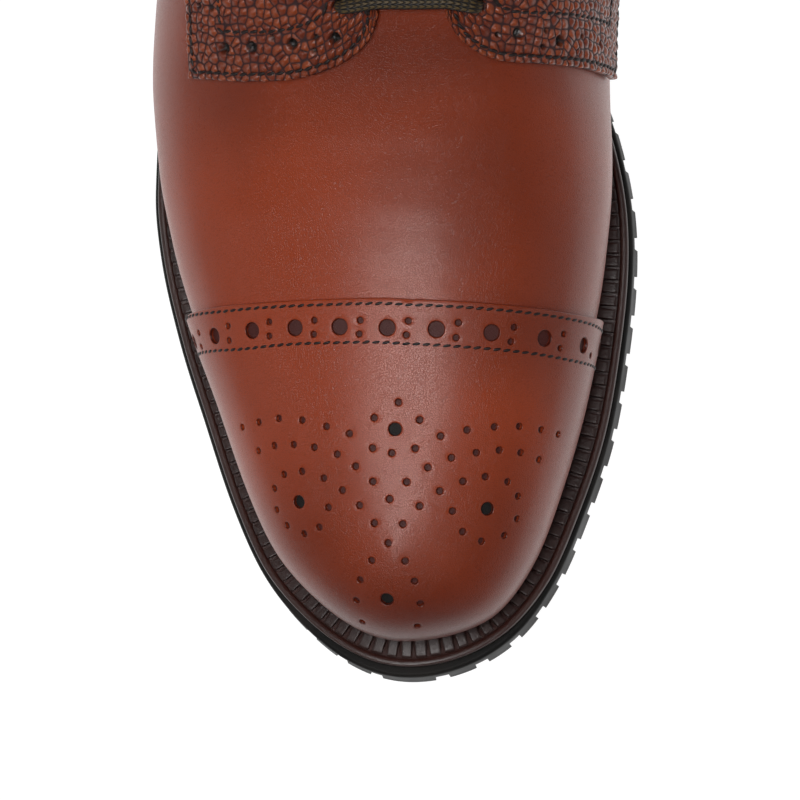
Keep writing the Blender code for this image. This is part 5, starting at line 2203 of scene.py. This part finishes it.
def lace_bar(number, share, medial, lateral):
    """A flat lace over both facings that narrows and dives into its two eyelets."""
    q = float(turn(share))
    lift = QUARTER_OFFSET + PEBBLE_HEIGHT + LACE_THICK / 2 - 0.1 * MM
    spots, wide_by = [], []
    for side, t in ((1, medial), (-1, lateral)):
        w = round_place(q, side)
        edge = float(throat_t(w))
        out = out_of_last(w, t)
        eye = on_last(w, t, 0.0)
        dive = [eye + (QUARTER_OFFSET - LACE_DIVE) * out, eye + QUARTER_OFFSET * out,
                on_last(w, t + (edge - t) * 0.12, lift - 0.2 * MM)]
        over = [on_last(w, t + (edge - t) * part, lift) + LACE_DRIFT * np.array((0, part, 0))
                for part in (0.4, 0.75, 1.0)]
        spots.append(dive + over)
        wide_by.append([0.5, 0.55, 0.8, 1.0, 1.0, 1.0])
    middle = (spots[0][-1] + spots[1][-1]) / 2 - np.array((0, 0, 0.2 * MM))
    path = np.array(spots[0] + [middle] + spots[1][::-1])
    width = np.array(wide_by[0] + [1.0] + wide_by[1][::-1])
    way = lengths(path)
    at = np.linspace(0, way[-1], 120)
    rows = [(float(s), *p, float(k)) for s, p, k in zip(way, path, width)]
    line = np.stack([smooth(rows, axis, at) for axis in (1, 2, 3)], axis=1)
    spread = smooth(rows, 4, at)
    along = np.gradient(line, axis=0)
    along /= np.linalg.norm(along, axis=1, keepdims=True)
    towards_heel = np.array((0.0, 1.0, 0.0))
    wide = towards_heel - (along @ towards_heel)[:, None] * along
    wide /= np.linalg.norm(wide, axis=1, keepdims=True)
    thick = np.cross(along, wide)
    angles = np.arange(LACE_SIDES) * math.tau / LACE_SIDES
    flat = np.sign(np.cos(angles)) * abs(np.cos(angles)) ** 0.8
    half = LACE_PULLED * LACE_WIDTH / 2
    ring = (wide[:, None] * (flat * half)[None, :, None] * spread[:, None, None]
            + thick[:, None] * (np.sin(angles) * LACE_THICK / 2)[None, :, None])
    points = line[:, None] + ring
    count = len(at)
    faces = grid_faces(count, LACE_SIDES, wrap_columns=True)
    faces += [list(range(LACE_SIDES)), list(range((count - 1) * LACE_SIDES, count * LACE_SIDES))]
    name = "lace_%d" % number
    thing = piece(name, points, faces, LACE, sharp=70)
    mesh = thing.data
    flat_map = np.zeros((count, LACE_SIDES, 2))
    flat_map[..., 0] = (flat / 2 + 0.5)[None, :] * 2
    flat_map[..., 1] = (at / BRAID_PITCH)[:, None]
    flat_map = flat_map.reshape(-1, 2).astype(np.float32)
    corners = np.zeros(len(mesh.loops), np.int32)
    mesh.loops.foreach_get("vertex_index", corners)
    mesh.uv_layers.new(name="braid_map").data.foreach_set("uv", flat_map[corners].ravel())
    return done(thing, "lace", "lace_bar_%d" % number)


for number, (share, medial, lateral) in enumerate(EYELETS, 1):
    lace_bar(number, share, medial, lateral)

# %% [markdown]
# ## Studio
#
# A pale floor fills the frame, as in the photograph. A softbox overhead gives the soft sheen
# in the middle of cap and vamp, and the pale floor itself shines on the shoe's low sides.

# %% Studio
FLOOR_REACH = 6.0
LIT_FLOOR = (0.13, 0.21, 1.0)


def make_studio():
    material, tree, shader = new_material("studio_floor")
    shader["Base Color"].default_value = colour(0.1, 0.1, 0.1)
    shader["Roughness"].default_value = 0.9
    shader["Emission Color"].default_value = colour(1.0, 1.0, 1.0)
    stretched = put(
        tree, "ShaderNodeVectorMath", {0: object_place(tree), 1: LIT_FLOOR}, operation="DIVIDE"
    ).outputs[0]
    away = put(tree, "ShaderNodeVectorMath", {0: stretched}, operation="LENGTH").outputs["Value"]
    # The floor glows, fully in an oval round the shoe and faintly further out: a painted pool of light,
    # which also shines on the shoe's low sides
    tree.links.new(ramp(tree, away, 1.18, 1.8, 1.0, 0.12), shader["Emission Strength"])
    reach = FLOOR_REACH
    corners = [(-reach, -reach, 0), (reach, -reach, 0), (reach, reach, 0), (-reach, reach, 0)]
    floor = piece("studio_floor", np.array(corners), [[0, 1, 2, 3]], material)
    world = bpy.data.worlds.new("studio")
    bpy.context.scene.world = world
    world.use_nodes = True
    tree = world.node_tree
    up = put(tree, "ShaderNodeSeparateXYZ", {0: put(tree, "ShaderNodeTexCoord").outputs["Generated"]})
    sky = ramp(tree, up.outputs[2], 0.05, 0.75)
    tint = mixed(tree, sky, colour(1.0, 1.0, 1.0), colour(0.12, 0.12, 0.13))
    tree.links.new(tint, tree.nodes["Background"].inputs["Color"])
    tree.nodes["Background"].inputs["Strength"].default_value = 0.16


def softbox(name, place_at, aim_at, width, length, power):
    light = bpy.data.lights.new(name, "AREA")
    light.shape = "RECTANGLE"
    light.size = width
    light.size_y = length
    light.energy = power
    thing = bpy.data.objects.new(name, light)
    bpy.context.collection.objects.link(thing)
    thing.location = place_at
    thing.rotation_euler = (Vector(aim_at) - Vector(place_at)).to_track_quat("-Z", "Y").to_euler()
    return thing


make_studio()
softbox("overhead_softbox", (-0.06, -0.19, 1.0), (0.0, -0.08, 0.05), 0.34, 0.54, 5.2)
softbox("fill_left", (-1.2, -0.1, 0.7), (0, -0.05, 0.04), 0.6, 0.8, 1.2)
softbox("fill_right", (1.3, 0.1, 0.6), (0, -0.05, 0.04), 0.5, 0.8, 1.0)
bpy.context.scene.view_settings.view_transform = "Standard"
